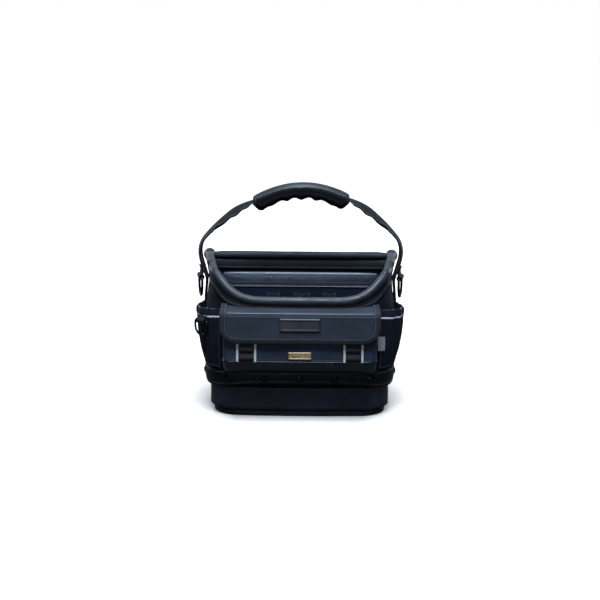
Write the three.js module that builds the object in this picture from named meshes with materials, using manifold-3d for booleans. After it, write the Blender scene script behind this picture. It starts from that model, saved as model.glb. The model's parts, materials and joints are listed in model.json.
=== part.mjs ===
// An open top tool tote: a soft hollow body in a moulded base, with a padded rim, pockets and a carrying handle.
// Millimetres, +Z up, +X to the right seen from the front, +Y to the back. The origin is the centre of the underside.
import * as THREE from "three";
import { mergeVertices } from "three/addons/utils/BufferGeometryUtils.js";
import Module from "manifold-3d";

// Driving dimensions

// Moulded base
const FOOT_WIDTH = 294;
const FOOT_DEPTH = 202;
const FOOT_HEIGHT = 12;
const BASE_WIDTH = 306;
const BASE_DEPTH = 214;
const BASE_TOP = 52;
const BASE_CORNER = 50;
const BASE_WALL = 4;
const FRONT_BOW = 3;
const EDGE = 2;

// Soft body
const BODY_WIDTH = 329;
const BODY_DEPTH = 221;
const BODY_CORNER = 60;
const BODY_BACK_CORNER = 16;
const WALL = 3;

// Band of smooth material round the foot of the body, and its rivets
const SKIRT_TOP = 81;
const SKIRT_LOW_FRONT = 60;
const SKIRT_LOW_SIDE = 50.5;
const SKIRT_WALL = 2.6;
const SKIRT_EDGE = 2.5;
const RIVET_WIDTH = 12;
const RIVET_DOME = 2.6;
const RIVET_PITCH = 60;
const RIVET_SIDE_PITCH = 52;
const RIVET_HEIGHT = 69;

// Padded rim
const RIM_WIDTH = 330;
const RIM_DEPTH = 216;
const RIM_TUBE = 18;
const RIM_BACK_TUBE = 17;
const RIM_SIDE_HEIGHT = 243;
const RIM_BACK_HEIGHT = 240;
const RIM_FRONT_HEIGHT = 201;
const RIM_TAPER = 16;

// Front pocket and its flap
const POCKET_WIDTH = 254;
const POCKET_LOW = 84;
const POCKET_UNDER_RIM = 13;
const POCKET_TOP = RIM_FRONT_HEIGHT - POCKET_UNDER_RIM;
const POCKET_REACH = 47;
const POCKET_WALL = 2.5;
const POCKET_CORNER = 12;
const FLAP_WIDTH = 262;
const FLAP_WALL = 3;
const FLAP_FRONT_DROP = 46.5;
const FLAP_FOLD = 4;
const FLAP_CORNER = 27;
const BINDING_WIDTH = 9.5;
const BINDING_WALL = 1;

// Trim on the front
const LABEL_WIDTH = 67;
const LABEL_HEIGHT = 22;
const LABEL_WALL = 1.6;
const LABEL_DROP = 0.5;
const TAG_WIDTH = 38;
const TAG_HEIGHT = 12.5;
const TAG_WALL = 1.2;
const TAG_LOW = 115;
const WEB_WIDTH = 25;
const WEB_WALL = 1.8;
const WEB_SPREAD = 176;
const WEB_BULGE = 3.4;
const WEB_TOP = 167;
const WEB_LOW = 110;
const REFLECTOR_WIDTH = 3.8;
const REFLECTOR_WALL = 0.6;
const REFLECTOR_STEP = 2.2;
const WOVEN_TAG_WIDTH = 12;
const WOVEN_TAG_TOP = 139;
const WOVEN_TAG_LOW = 115;
const WOVEN_TAG_WALL = 0.8;

// Side pockets
const SIDE_POCKET_TOP = 184;
const SIDE_POCKET_LOW = 83;
const SIDE_POCKET_REACH = 16.5;
const SIDE_POCKET_WALL = 2.2;
const SIDE_POCKET_SIDE_GAP = 2;
const SIDE_POCKET_FRONT_LIFT = 4;
const CUFF_HEIGHT = 12;
const CUFF_WALL = 1;
const STRIPE_HEIGHT = 3.5;
const STRIPE_WALL = 0.6;

// Carrying handle
const STRAP_WIDTH = 38;
const STRAP_WALL = 3.2;
const STRAP_BULGE_WIDTH = 344;
const STRAP_FOLD = 11;
const STRAP_END_WIDTH = 22;
const GRIP_LENGTH = 166;
const GRIP_TOP = 387;
const GRIP_THICKNESS = 29;
const GRIP_DEPTH = 36;
const GRIP_LEAN = 1.6;

// Rings and the web loops that hold them
const RING_WIRE = 4.6;
const RING_INNER_WIDTH = 34;
const RING_DROP = 33.5;
const RING_BAR_HEIGHT = 222;
const RING_TURN = 12;
const RING_LOOP_WIDTH = 28;
const RING_LOOP_WALL = 1.8;
const RING_LOOP_TOP = 242;
const POCKET_RING_WIRE = 4;
const POCKET_RING_INNER_WIDTH = 26;
const POCKET_RING_DROP = 25;
const POCKET_RING_BAR_HEIGHT = 165;
const POCKET_RING_LOOP_WIDTH = 20;
const POCKET_RING_LOOP_RISE = 9;
const RING_PLAY = 0.35;

// Inside
const DIVIDER_WIDTH = 282;
const DIVIDER_THICKNESS = 14;
const DIVIDER_TOP = 228;
const DIVIDER_PLACE = 26;
const TOOL_PANEL_WIDTH = 248;
const TOOL_PANEL_TOP = 211;
const TOOL_PANEL_WALL = 2.5;
const TOOL_PANEL_GAP = 13;
const TOOL_BINDING_HEIGHT = 7;
const TOOL_BINDING_WALL = 1;
const TOOL_LOOP_TOP = 193;
const TOOL_LOOP_LOW = 152;
const TOOL_LOOP_REACH = 15;
const TOOL_LOOP_WALL = 2;
const TOOL_LOOP_FOOT = 5;
const NARROW_LOOP = 14;
const WIDE_LOOP = 19;

// Room between two pieces that touch, and a little more where faceted curves run along each other
const CLEARANCE = 0.3;
const SEAT = 0.5;

// Tables of sections, with sizes as shares of the dimensions above

// The body: level 0 is its lower edge, level 1 the top of the band round its foot and level 2 the top of its wall
// Its corners run from the base's to the rim's, and its sides lean in towards the front as the rim does.
const BODY_SECTIONS = [
  { level: 0, width: 0.945, depth: 0.955, corner: 0, taper: 0 },
  { level: 0.25, width: 0.967, depth: 0.978, corner: 0.1, taper: 0 },
  { level: 1, width: 0.97, depth: 0.98, corner: 0.3, taper: 0 },
  { level: 1.35, width: 0.99, depth: 0.99, corner: 0.7, taper: 0.05 },
  { level: 1.7, width: 1.004, depth: 0.995, corner: 0.95, taper: 0.3 },
  { level: 2, width: 1.012, depth: 0.991, corner: 1, taper: 1 },
];

// The front pocket from its underside up
const POCKET_SECTIONS = [
  { rise: 0, reach: 0.085, width: 0.95 },
  { rise: 0.06, reach: 0.72, width: 0.97 },
  { rise: 0.24, reach: 1, width: 1 },
  { rise: 0.65, reach: 1, width: 1 },
  { rise: 1, reach: 0.9, width: 0.99 },
];

// The side pockets bulge towards their open mouth
const SIDE_POCKET_SECTIONS = [
  { rise: 0, reach: 0.16 },
  { rise: 0.12, reach: 0.36 },
  { rise: 0.3, reach: 0.55 },
  { rise: 0.5, reach: 0.7 },
  { rise: 0.75, reach: 0.92 },
  { rise: 1, reach: 1 },
];

// The handle strap above the rim: out is a share of the way from the grip to the side, up of the way to the grip
const STRAP_ROUTE = [
  { out: 1.005, up: 0.055 },
  { out: 1.04, up: 0.165 },
  { out: 1.047, up: 0.267 },
  { out: 1.02, up: 0.36 },
  { out: 0.97, up: 0.44 },
  { out: 0.88, up: 0.525 },
  { out: 0.74, up: 0.64 },
  { out: 0.583, up: 0.75 },
  { out: 0.4, up: 0.865 },
  { out: 0.245, up: 0.932 },
  { out: 0.1, up: 0.975 },
  { out: 0, up: 1 },
];

// How far the strap is folded over along that route
const STRAP_FOLDS = [
  { along: 0, fold: 0, width: 1 },
  { along: 0.45, fold: 0, width: 1 },
  { along: 0.62, fold: 0.35, width: 0.97 },
  { along: 0.78, fold: 1, width: 0.9 },
  { along: 0.92, fold: 0.75, width: 0.76 },
  { along: 1, fold: 0.2, width: STRAP_END_WIDTH / STRAP_WIDTH },
];

// The grip from its middle to its end: drop of the top, thickness and depth, all as shares
const GRIP_SECTIONS = [
  { out: 0, drop: 0, thickness: 1, depth: 1 },
  { out: 0.1, drop: 0.003, thickness: 0.95, depth: 1 },
  { out: 0.2, drop: 0.012, thickness: 0.93, depth: 1 },
  { out: 0.28, drop: 0.025, thickness: 1.01, depth: 1 },
  { out: 0.38, drop: 0.05, thickness: 0.96, depth: 0.99 },
  { out: 0.46, drop: 0.075, thickness: 1.0, depth: 0.98 },
  { out: 0.56, drop: 0.11, thickness: 1.02, depth: 0.96 },
  { out: 0.66, drop: 0.155, thickness: 1.08, depth: 0.95 },
  { out: 0.78, drop: 0.215, thickness: 1.16, depth: 0.94 },
  { out: 0.87, drop: 0.27, thickness: 1.04, depth: 0.92 },
  { out: 0.95, drop: 0.325, thickness: 0.72, depth: 0.88 },
  { out: 1, drop: 0.375, thickness: 0.46, depth: 0.74 },
];

// Finishes
const FINISHES = {
  nylon: { color: 0x14161b, roughness: 0.85, metalness: 0 },
  navy: { color: 0x161b2a, roughness: 0.8, metalness: 0 },
  coated: { color: 0x101217, roughness: 0.45, metalness: 0 },
  leather: { color: 0x15181e, roughness: 0.4, metalness: 0 },
  rubber: { color: 0x17191d, roughness: 0.6, metalness: 0 },
  webbing: { color: 0x0e0f12, roughness: 0.9, metalness: 0 },
  reflector: { color: 0xc9ccd2, roughness: 0.35, metalness: 0 },
  steel: { color: 0x1c1d20, roughness: 0.3, metalness: 0.9 },
  brass: { color: 0xa68a5c, roughness: 0.35, metalness: 1 },
  woven: { color: 0xb9bcc0, roughness: 0.9, metalness: 0 },
};

const wasm = await Module();
wasm.setup();
const tote = new THREE.Group();

// Helpers

const place = (x, y, z) => new THREE.Vector3(x, y, z);
const mix = (a, b, t) => a + (b - a) * t;
const clamped = (t) => Math.min(1, Math.max(0, t));
const smooth = (t) => clamped(t) ** 2 * (3 - 2 * clamped(t));
const radians = THREE.MathUtils.degToRad;

// The value of a table's column at a key, on straight lines between its rows.
function lookUp(table, key, at, column) {
  const last = table.length - 1;
  let row = 0;
  while (row < last - 1 && at > table[row + 1][key]) row += 1;
  const [low, high] = [table[row], table[row + 1]];
  return mix(low[column], high[column], clamped((at - low[key]) / (high[key] - low[key])));
}

// A closed geometry from points and triangles, with its faces turned outwards.
function closed(points, faces) {
  const volume = faces.reduce(
    (sum, [a, b, c]) => sum + points[a].dot(points[b].clone().cross(points[c])),
    0,
  );
  const order = volume < 0 ? faces.map(([a, b, c]) => [a, c, b]) : faces;
  const geometry = new THREE.BufferGeometry().setFromPoints(points);
  return geometry.setIndex(order.flat());
}

// A sheet with a wall: at(u, v, w) gives its points, u across, v along, and w 0 on its back and 1 on its face.
function sheet(at, across, along) {
  const points = [];
  const faces = [];
  const index = (i, j, k) => (k * (along + 1) + j) * (across + 1) + i;
  const quad = (a, b, c, d) => faces.push([a, b, c], [a, c, d]);
  for (let k = 0; k <= 1; k += 1)
    for (let j = 0; j <= along; j += 1)
      for (let i = 0; i <= across; i += 1) points.push(at(i / across, j / along, k));
  for (let j = 0; j < along; j += 1)
    for (let i = 0; i < across; i += 1) {
      quad(index(i, j, 1), index(i + 1, j, 1), index(i + 1, j + 1, 1), index(i, j + 1, 1));
      quad(index(i, j, 0), index(i, j + 1, 0), index(i + 1, j + 1, 0), index(i + 1, j, 0));
    }
  for (let i = 0; i < across; i += 1) {
    quad(index(i, 0, 0), index(i + 1, 0, 0), index(i + 1, 0, 1), index(i, 0, 1));
    quad(index(i, along, 1), index(i + 1, along, 1), index(i + 1, along, 0), index(i, along, 0));
  }
  for (let j = 0; j < along; j += 1) {
    quad(index(0, j, 1), index(0, j + 1, 1), index(0, j + 1, 0), index(0, j, 0));
    quad(index(across, j, 0), index(across, j + 1, 0), index(across, j + 1, 1), index(across, j, 1));
  }
  return closed(points, faces);
}

// A body through rings of points, capped at its two ends, or joined end to end if it is a loop.
function ringBody(rings, loop = false) {
  const count = rings[0].length;
  const faces = [];
  const steps = loop ? rings.length : rings.length - 1;
  for (let j = 0; j < steps; j += 1)
    for (let i = 0; i < count; i += 1) {
      const next = (i + 1) % count;
      const [low, high] = [j * count, ((j + 1) % rings.length) * count];
      faces.push([low + i, low + next, high + next], [low + i, high + next, high + i]);
    }
  const points = rings.flat();
  if (!loop) {
    const end = (rings.length - 1) * count;
    const middle = (ring) => ring.reduce((sum, p) => sum.add(p), place(0, 0, 0)).divideScalar(count);
    points.push(middle(rings[0]), middle(rings.at(-1)));
    for (let i = 0; i < count; i += 1) {
      const next = (i + 1) % count;
      faces.push([points.length - 2, next, i], [points.length - 1, end + i, end + next]);
    }
  }
  return closed(points, faces);
}

// A round bar along a path. Up is a direction that the path never takes.
function bar(path, radii, sides, up, loop = false) {
  const rings = path.map((p, i) => {
    const before = loop ? path.at(i - 1) : path[Math.max(0, i - 1)];
    const after = loop ? path[(i + 1) % path.length] : path[Math.min(path.length - 1, i + 1)];
    const along = after.clone().sub(before).normalize();
    const side = along.clone().cross(up).normalize();
    const top = side.clone().cross(along);
    return Array.from({ length: sides }, (_, n) => {
      const turn = (2 * Math.PI * (n + 0.5)) / sides;
      const arm = side.clone().multiplyScalar(Math.cos(turn)).addScaledVector(top, Math.sin(turn));
      return p.clone().addScaledVector(arm, radii[i]);
    });
  });
  return ringBody(rings, loop);
}

// Two closed geometries joined as one.
function joined(first, second) {
  const [a, b] = [first, second].map((geometry) => {
    const bare = geometry.clone();
    bare.deleteAttribute("normal");
    bare.deleteAttribute("uv");
    const merged = mergeVertices(bare);
    const vertProperties = merged.attributes.position.array;
    const triVerts = new Uint32Array(merged.index.array);
    return new wasm.Manifold(new wasm.Mesh({ numProp: 3, vertProperties, triVerts }));
  });
  const mesh = a.add(b).getMesh();
  const geometry = new THREE.BufferGeometry();
  geometry.setAttribute("position", new THREE.BufferAttribute(mesh.vertProperties, 3));
  return geometry.setIndex(new THREE.BufferAttribute(mesh.triVerts, 1));
}

// A named piece of the tote.
function piece(name, geometry, finish) {
  const mesh = new THREE.Mesh(geometry, new THREE.MeshStandardMaterial(FINISHES[finish]));
  mesh.name = name;
  tote.add(mesh);
  return mesh;
}

// The plan of the body

// A turn counts round the plan from the middle of the front: 1 and 2 are the ends of the front corner,
// 3 and 4 the ends of the back corner, and 5 the middle of the back. Left is negative.
function planPoint(plan, turn, offset = 0) {
  const side = turn < 0 ? -1 : 1;
  const t = Math.abs(turn);
  const { half, deep, front, back, taper = 0 } = plan;
  const near = half - taper;
  let [x, y, nx, ny] = [0, 0, 0, 0];
  if (t <= 1) {
    [x, y] = [t * (near - front), -deep - FRONT_BOW * (1 - t * t)];
    [nx, ny] = [0, -1];
  } else if (t <= 2) {
    [nx, ny] = [Math.sin(((t - 1) * Math.PI) / 2), -Math.cos(((t - 1) * Math.PI) / 2)];
    [x, y] = [near - front + front * nx, -(deep - front) + front * ny];
  } else if (t <= 3) {
    [x, y] = [mix(near, half, t - 2), mix(-(deep - front), deep - back, t - 2)];
    [nx, ny] = [1, 0];
  } else if (t <= 4) {
    [nx, ny] = [Math.cos(((t - 3) * Math.PI) / 2), Math.sin(((t - 3) * Math.PI) / 2)];
    [x, y] = [half - back + back * nx, deep - back + back * ny];
  } else {
    [x, y] = [(5 - t) * (half - back), deep];
    [nx, ny] = [0, 1];
  }
  return { x: side * (x + nx * offset), y: y + ny * offset, nx: side * nx, ny };
}

// The turns at which every ring round the body has its points.
const FRONT_STEPS = 4;
const CORNER_STEPS = 7;
const SIDE_STEPS = 2;
const BACK_STEPS = 2;
const TURNS = (() => {
  const half = [];
  const stretch = (from, steps) => {
    for (let i = 0; i < steps; i += 1) half.push(from + i / steps);
  };
  stretch(0, FRONT_STEPS);
  stretch(1, CORNER_STEPS);
  stretch(2, SIDE_STEPS);
  stretch(3, CORNER_STEPS - 3);
  stretch(4, BACK_STEPS);
  return [...half, 5, ...half.slice(1).reverse().map((t) => -t)];
})();

const basePlan = (width, depth, corner) => ({
  half: width / 2,
  deep: depth / 2,
  front: corner,
  back: corner,
});
const rimPlan = {
  half: RIM_WIDTH / 2,
  deep: RIM_DEPTH / 2,
  front: BODY_CORNER - WALL / 2,
  back: BODY_BACK_CORNER - WALL / 2,
  taper: RIM_TAPER,
};

// The rim is low along the front, climbs round the front corners to the sides and dips a little at the back. The
// climb starts gently.
const RIM_CLIMB_FROM = 0.6;
const RIM_CLIMB_TO = 1.8;
const RIM_CLIMB_EASE = 1.6;
function rimHeight(turn) {
  const along = clamped((Math.abs(turn) - RIM_CLIMB_FROM) / (RIM_CLIMB_TO - RIM_CLIMB_FROM));
  const climb = smooth(along ** RIM_CLIMB_EASE);
  const dip = smooth(Math.abs(turn) - 3) * (RIM_SIDE_HEIGHT - RIM_BACK_HEIGHT);
  return mix(RIM_FRONT_HEIGHT, RIM_SIDE_HEIGHT, climb) - dip;
}

// The wall stops under the rim's tube, with more room where the tube slopes.
function wallTop(turn) {
  const step = 0.02;
  const [a, b] = [turn - step, turn + step];
  const [p, q] = [planPoint(rimPlan, a), planPoint(rimPlan, b)];
  const slope = (rimHeight(b) - rimHeight(a)) / Math.hypot(q.x - p.x, q.y - p.y);
  return rimHeight(turn) - (RIM_TUBE / 2) * Math.hypot(1, slope) - SEAT;
}

function bodyPlanAt(level) {
  const share = (column) => lookUp(BODY_SECTIONS, "level", level, column);
  return {
    half: (BODY_WIDTH / 2) * share("width"),
    deep: (BODY_DEPTH / 2) * share("depth"),
    front: mix(BASE_CORNER, BODY_CORNER, share("corner")),
    back: mix(BASE_CORNER, BODY_BACK_CORNER, share("corner")),
    taper: RIM_TAPER * share("taper"),
  };
}
const BODY_LOW = BASE_TOP + CLEARANCE;
function heightOf(turn, level) {
  if (level <= 1) return mix(BODY_LOW, SKIRT_TOP, level);
  return mix(SKIRT_TOP, wallTop(turn), level - 1);
}
function levelOf(turn, z) {
  if (z <= SKIRT_TOP) return clamped((z - BODY_LOW) / (SKIRT_TOP - BODY_LOW));
  return 1 + clamped((z - SKIRT_TOP) / (wallTop(turn) - SKIRT_TOP));
}
const bodyPlanFor = (turn, z) => bodyPlanAt(levelOf(turn, z));

// A point on the body's outside, moved out by an offset.
function bodyPoint(turn, z, offset = 0) {
  const p = planPoint(bodyPlanFor(turn, z), turn, offset);
  return place(p.x, p.y, z);
}

// The turn at which the body's front lies a distance x from the middle.
function frontTurn(x, z) {
  let turn = 0;
  for (let i = 0; i < 8; i += 1) {
    const { half, front, taper } = bodyPlanFor(turn, z);
    const flat = half - taper - front;
    const round = (2 / Math.PI) * Math.asin(clamped((Math.abs(x) - flat) / front));
    turn = Math.abs(x) <= flat ? x / flat : Math.sign(x) * (1 + round);
  }
  return turn;
}
const bodyFront = (x, z) => bodyPoint(frontTurn(x, z), z).y;
const BODY_FRONT_MIDDLE = bodyFront(0, POCKET_TOP);

// Moulded base: a tub whose foot is set in under the band

function tubRing(z, width, depth, corner) {
  const plan = basePlan(width, depth, corner);
  return TURNS.map((turn) => {
    const p = planPoint(plan, turn);
    return place(p.x, p.y, z);
  });
}
const inset = (z, width, depth, corner, by) => tubRing(z, width - 2 * by, depth - 2 * by, corner - by);
const foot = (z, by) => inset(z, FOOT_WIDTH, FOOT_DEPTH, BASE_CORNER - 4, by);
const band = (z, by) => inset(z, BASE_WIDTH, BASE_DEPTH, BASE_CORNER, by);
piece(
  "base_tray",
  ringBody([
    foot(0, EDGE),
    foot(EDGE, 0),
    foot(FOOT_HEIGHT - 1, 0),
    foot(FOOT_HEIGHT, EDGE),
    band(FOOT_HEIGHT + 1, EDGE),
    band(FOOT_HEIGHT + 2, 0),
    band(BASE_TOP - EDGE, 0),
    band(BASE_TOP, 1),
    band(BASE_TOP, BASE_WALL),
    band(FOOT_HEIGHT + BASE_WALL, BASE_WALL),
    foot(FOOT_HEIGHT + BASE_WALL - 1, BASE_WALL),
    foot(BASE_WALL, BASE_WALL),
  ]),
  "rubber",
);

// Soft body: its walls stand in the base and flare out over it

const INNER_LOW = FOOT_HEIGHT + BASE_WALL + CLEARANCE;
const innerTub = (z, by) => band(z, BASE_WALL + SEAT + by);
const bodyRing = (level, offset) =>
  TURNS.map((turn) => {
    const p = planPoint(bodyPlanAt(level), turn, offset);
    return place(p.x, p.y, heightOf(turn, level) + (offset < 0 && level === 0 ? WALL : 0));
  });
piece(
  "body_shell",
  ringBody([
    innerTub(INNER_LOW, 0),
    innerTub(BODY_LOW, 0),
    ...BODY_SECTIONS.map(({ level }) => bodyRing(level, 0)),
    ...BODY_SECTIONS.toReversed().map(({ level }) => bodyRing(level, -WALL)),
    innerTub(BODY_LOW + WALL, WALL),
    innerTub(INNER_LOW + WALL, WALL),
  ]),
  "nylon",
);

// Band round the foot of the body

// Its lower edge is higher in the middle of the front and back than round the corners.
function skirtLow(turn) {
  const t = Math.min(Math.abs(turn), 5 - Math.abs(turn));
  return mix(SKIRT_LOW_FRONT, SKIRT_LOW_SIDE, smooth(t - 0.5));
}
const BODY_KNEE = mix(BODY_LOW, SKIRT_TOP, BODY_SECTIONS[1].level);
function skirtRing(row, offset) {
  return TURNS.map((turn) => {
    const low = skirtLow(turn);
    const overKnee = Math.max(low + 2 * SKIRT_EDGE, BODY_KNEE + CLEARANCE);
    const z = [low, low + SKIRT_EDGE, overKnee, SKIRT_TOP][row];
    return bodyPoint(turn, z, offset);
  });
}
// The wall is half as thick along the lower edge.
const SKIRT_ROWS = [0.5, 1, 1, 1];
const SKIRT_IN = SEAT + CLEARANCE;
piece(
  "skirt_band",
  ringBody(
    [
      ...SKIRT_ROWS.map((thick, row) => skirtRing(row, SKIRT_IN + SKIRT_WALL * thick)),
      ...SKIRT_ROWS.map((_, row) => skirtRing(SKIRT_ROWS.length - 1 - row, SKIRT_IN)),
    ],
    true,
  ),
  "coated",
);

// Rivets through the band

const RIVET_SIDES = 8;
function rivet(name, turn, along) {
  const at = bodyPoint(turn, RIVET_HEIGHT, SKIRT_IN + SKIRT_WALL + CLEARANCE);
  const { nx, ny } = planPoint(bodyPlanFor(turn, RIVET_HEIGHT), turn);
  const profile = [
    [0, 0],
    [RIVET_WIDTH / 2, 0],
    [RIVET_WIDTH * 0.32, RIVET_DOME * 0.8],
    [0, RIVET_DOME],
  ].map(([r, h]) => new THREE.Vector2(r, h));
  const mesh = piece(name, new THREE.LatheGeometry(profile, RIVET_SIDES), "steel");
  mesh.quaternion.setFromUnitVectors(place(0, 1, 0), place(nx, ny, 0));
  mesh.position.copy(at).add(along);
}
// A place along the straight stretch of the front, back or side that holds a rivet.
const skirtPlan = bodyPlanFor(2, RIVET_HEIGHT);
const RIVETS_ALONG = [-2, -1, 0, 1, 2];
RIVETS_ALONG.forEach((step, i) => {
  const x = step * RIVET_PITCH;
  rivet("rivet_front_" + (i + 1), frontTurn(x, RIVET_HEIGHT), place(0, 0, 0));
  const backTurn = 5 - Math.abs(x) / (skirtPlan.half - skirtPlan.back);
  rivet("rivet_back_" + (i + 1), step < 0 ? -backTurn : backTurn, place(0, 0, 0));
});
const SIDES = [
  { name: "left", sign: -1 },
  { name: "right", sign: 1 },
];
for (const { name, sign } of SIDES)
  [-1, 0, 1].forEach((step, i) =>
    rivet(
      `rivet_${name}_${i + 1}`,
      sign * 2.5,
      place(0, step * RIVET_SIDE_PITCH - bodyPoint(sign * 2.5, RIVET_HEIGHT).y, 0),
    ),
  );

// Padded rim: one tube round the front and sides, and one across the back

const RIM_SIDES = 10;
const rimCentre = (turn) => {
  const p = planPoint(rimPlan, turn);
  return place(p.x, p.y, rimHeight(turn));
};
// The front tube runs straight on to the back along each side, and its ends are round.
const RIM_ENDS = [
  { out: -0.45, width: 1 },
  { out: 0, width: 0.9 },
  { out: 0.35, width: 0.65 },
];
const rimEnd = (side) =>
  RIM_ENDS.map(({ out }) => {
    const y = RIM_DEPTH / 2 - RIM_TUBE * 0.05 + out * (RIM_TUBE / 2);
    return place((side * RIM_WIDTH) / 2, y, RIM_SIDE_HEIGHT);
  });
const frontTurns = TURNS.filter((turn) => Math.abs(turn) < 3).sort((a, b) => a - b);
const rimPath = [...rimEnd(-1).reverse(), ...frontTurns.map(rimCentre), ...rimEnd(1)];
const endRadii = RIM_ENDS.map(({ width }) => (width * RIM_TUBE) / 2);
const rimRadii = [...endRadii.toReversed(), ...frontTurns.map(() => RIM_TUBE / 2), ...endRadii];
piece("rim_front_tube", bar(rimPath, rimRadii, RIM_SIDES, place(0, 0, 1)), "leather");
// The back tube is sewn in between the two ends.
const backHalf = (RIM_WIDTH - RIM_TUBE) / 2 - CLEARANCE;
const BACK_TUBE_STEPS = 4;
const backPath = Array.from({ length: BACK_TUBE_STEPS + 1 }, (_, i) =>
  place(mix(-backHalf, backHalf, i / BACK_TUBE_STEPS), RIM_DEPTH / 2, RIM_BACK_HEIGHT),
);
piece(
  "rim_back_tube",
  bar(backPath, backPath.map(() => RIM_BACK_TUBE / 2), RIM_SIDES, place(0, 0, 1)),
  "leather",
);

// Front pocket: three walls and a sloping underside, open under its flap

// A point on a box section seen from above, u from the left end of its walls to the right one.
function boxSection(u, half, back, front, radius) {
  const side = u < 0.5 ? -1 : 1;
  const t = Math.min(u, 1 - u) / 0.5;
  const [wallEnd, arcEnd] = [0.4, 0.75];
  if (t <= wallEnd) return { x: side * half, y: mix(back, front + radius, t / wallEnd) };
  if (t <= arcEnd) {
    const turn = ((t - wallEnd) / (arcEnd - wallEnd)) * (Math.PI / 2);
    return {
      x: side * (half - radius + radius * Math.cos(turn)),
      y: front + radius - radius * Math.sin(turn),
    };
  }
  const [flat, along] = [half - radius, (t - arcEnd) / (1 - arcEnd)];
  return { x: side * flat * (1 - along), y: front };
}
const POCKET_BOW = 2;
// How far forward the pocket's front stands at a height, x from the middle.
function pocketFront(x, z) {
  const rise = (z - POCKET_LOW) / (POCKET_TOP - POCKET_LOW);
  const reach = POCKET_REACH * lookUp(POCKET_SECTIONS, "rise", rise, "reach");
  return BODY_FRONT_MIDDLE - reach - POCKET_BOW * (1 - (2 * x) ** 2 / POCKET_WIDTH ** 2);
}
const POCKET_STEPS = 28;
const POCKET_RISES = [0, 0.06, 0.24, 0.45, 0.65, 0.77, 0.88, 1];
piece(
  "front_pocket",
  sheet(
    (u, v, w) => {
      const rise = POCKET_RISES[Math.round(v * (POCKET_RISES.length - 1))];
      const z = mix(POCKET_LOW, POCKET_TOP, rise);
      const width = POCKET_WIDTH * lookUp(POCKET_SECTIONS, "rise", rise, "width");
      const half = width / 2 - (1 - w) * POCKET_WALL;
      const front = pocketFront(POCKET_WIDTH / 2, z) + (1 - w) * POCKET_WALL;
      const back = bodyFront(half, z) - 2 * SEAT;
      const radius = Math.min(POCKET_CORNER - (1 - w) * POCKET_WALL, (back - front) * 0.6);
      const p = boxSection(u, half, back, front, Math.max(radius, 0.4));
      const bow = p.y < back - 1 ? POCKET_BOW * clamped(1 - (p.x / half) ** 2) : 0;
      return place(p.x, p.y - bow, z);
    },
    POCKET_STEPS,
    POCKET_RISES.length - 1,
  ),
  "navy",
);

// Flap: from under the rim forwards over the pocket, round a fold and down its front

// The webbing on the pocket's front needs room behind the flap.
const FLAP_ROOM = WEB_WALL + 2 * SEAT + CLEARANCE;
const FLAP_UNDER = POCKET_TOP + 2 * SEAT;
const FLAP_BACK_LIFT = 4;
const foldFront = (x) => pocketFront(x, FLAP_UNDER - FLAP_FOLD) - FLAP_ROOM;
const FOLD_LENGTH = (FLAP_FOLD * Math.PI) / 2;
const flapTopLength = BODY_FRONT_MIDDLE - 3 * SEAT - (foldFront(0) + FLAP_FOLD);
const FLAP_LENGTH = flapTopLength + FOLD_LENGTH + FLAP_FRONT_DROP - FLAP_FOLD;
// A point on the flap at x from the middle and a length down from its sewn edge, lifted off its underside.
function flapPoint(x, length, lift) {
  const fold = { y: foldFront(x) + FLAP_FOLD, z: FLAP_UNDER - FLAP_FOLD };
  if (length <= flapTopLength) {
    const t = length / flapTopLength;
    const ends = FLAP_BACK_LIFT * clamped(Math.abs(x) / (FLAP_WIDTH / 2)) ** 4 * (1 - t);
    const back = bodyFront(x, FLAP_UNDER) - 3 * SEAT;
    return place(x, mix(back, fold.y, t), FLAP_UNDER + ends - SEAT * (1 - t) + lift);
  }
  const turn = Math.min(1, (length - flapTopLength) / FOLD_LENGTH) * (Math.PI / 2);
  const out = FLAP_FOLD + lift;
  const down = Math.max(0, length - flapTopLength - FOLD_LENGTH);
  const lean = pocketFront(x, fold.z - down) - pocketFront(x, fold.z);
  return place(x, fold.y - out * Math.sin(turn) + lean, fold.z + out * Math.cos(turn) - down);
}
// Half the flap's width at a length, drawn in by an inset, with round lower corners.
function flapHalf(length, by = 0) {
  const radius = FLAP_CORNER - by;
  const left = FLAP_LENGTH - by - length;
  const arc = left >= radius ? 0 : radius - Math.sqrt(Math.max(0, radius ** 2 - (radius - left) ** 2));
  return FLAP_WIDTH / 2 - by - arc;
}
const FLAP_SIDE_ROWS = [
  ...[0, 0.5, 1].map((t) => t * flapTopLength),
  ...[1 / 3, 2 / 3, 1].map((t) => flapTopLength + t * FOLD_LENGTH),
];
const FLAP_CORNER_ANGLES = [0, 30, 50, 65, 78, 90];
const FLAP_ROWS = [
  ...FLAP_SIDE_ROWS,
  ...FLAP_CORNER_ANGLES.map((a) => FLAP_LENGTH - FLAP_CORNER * (1 - Math.sin(radians(a)))),
];
const FLAP_STEPS = 16;
piece(
  "front_flap",
  sheet(
    (u, v, w) => {
      const length = FLAP_ROWS[Math.round(v * (FLAP_ROWS.length - 1))];
      return flapPoint((2 * u - 1) * flapHalf(length), length, w * FLAP_WALL);
    },
    FLAP_STEPS,
    FLAP_ROWS.length - 1,
  ),
  "nylon",
);

// Binding along the flap's sides and lower edge

// Its stations run down the left side, round that corner, along the lower edge and up the right side.
const sideStations = (side) => [
  ...FLAP_SIDE_ROWS.map((length) => ({ side, length })),
  ...FLAP_CORNER_ANGLES.map((angle) => ({ side, angle })),
];
const BINDING_STATIONS = [
  ...sideStations(-1),
  ...[-0.5, 0, 0.5].map((share) => ({ share })),
  ...sideStations(1).reverse(),
];
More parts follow.
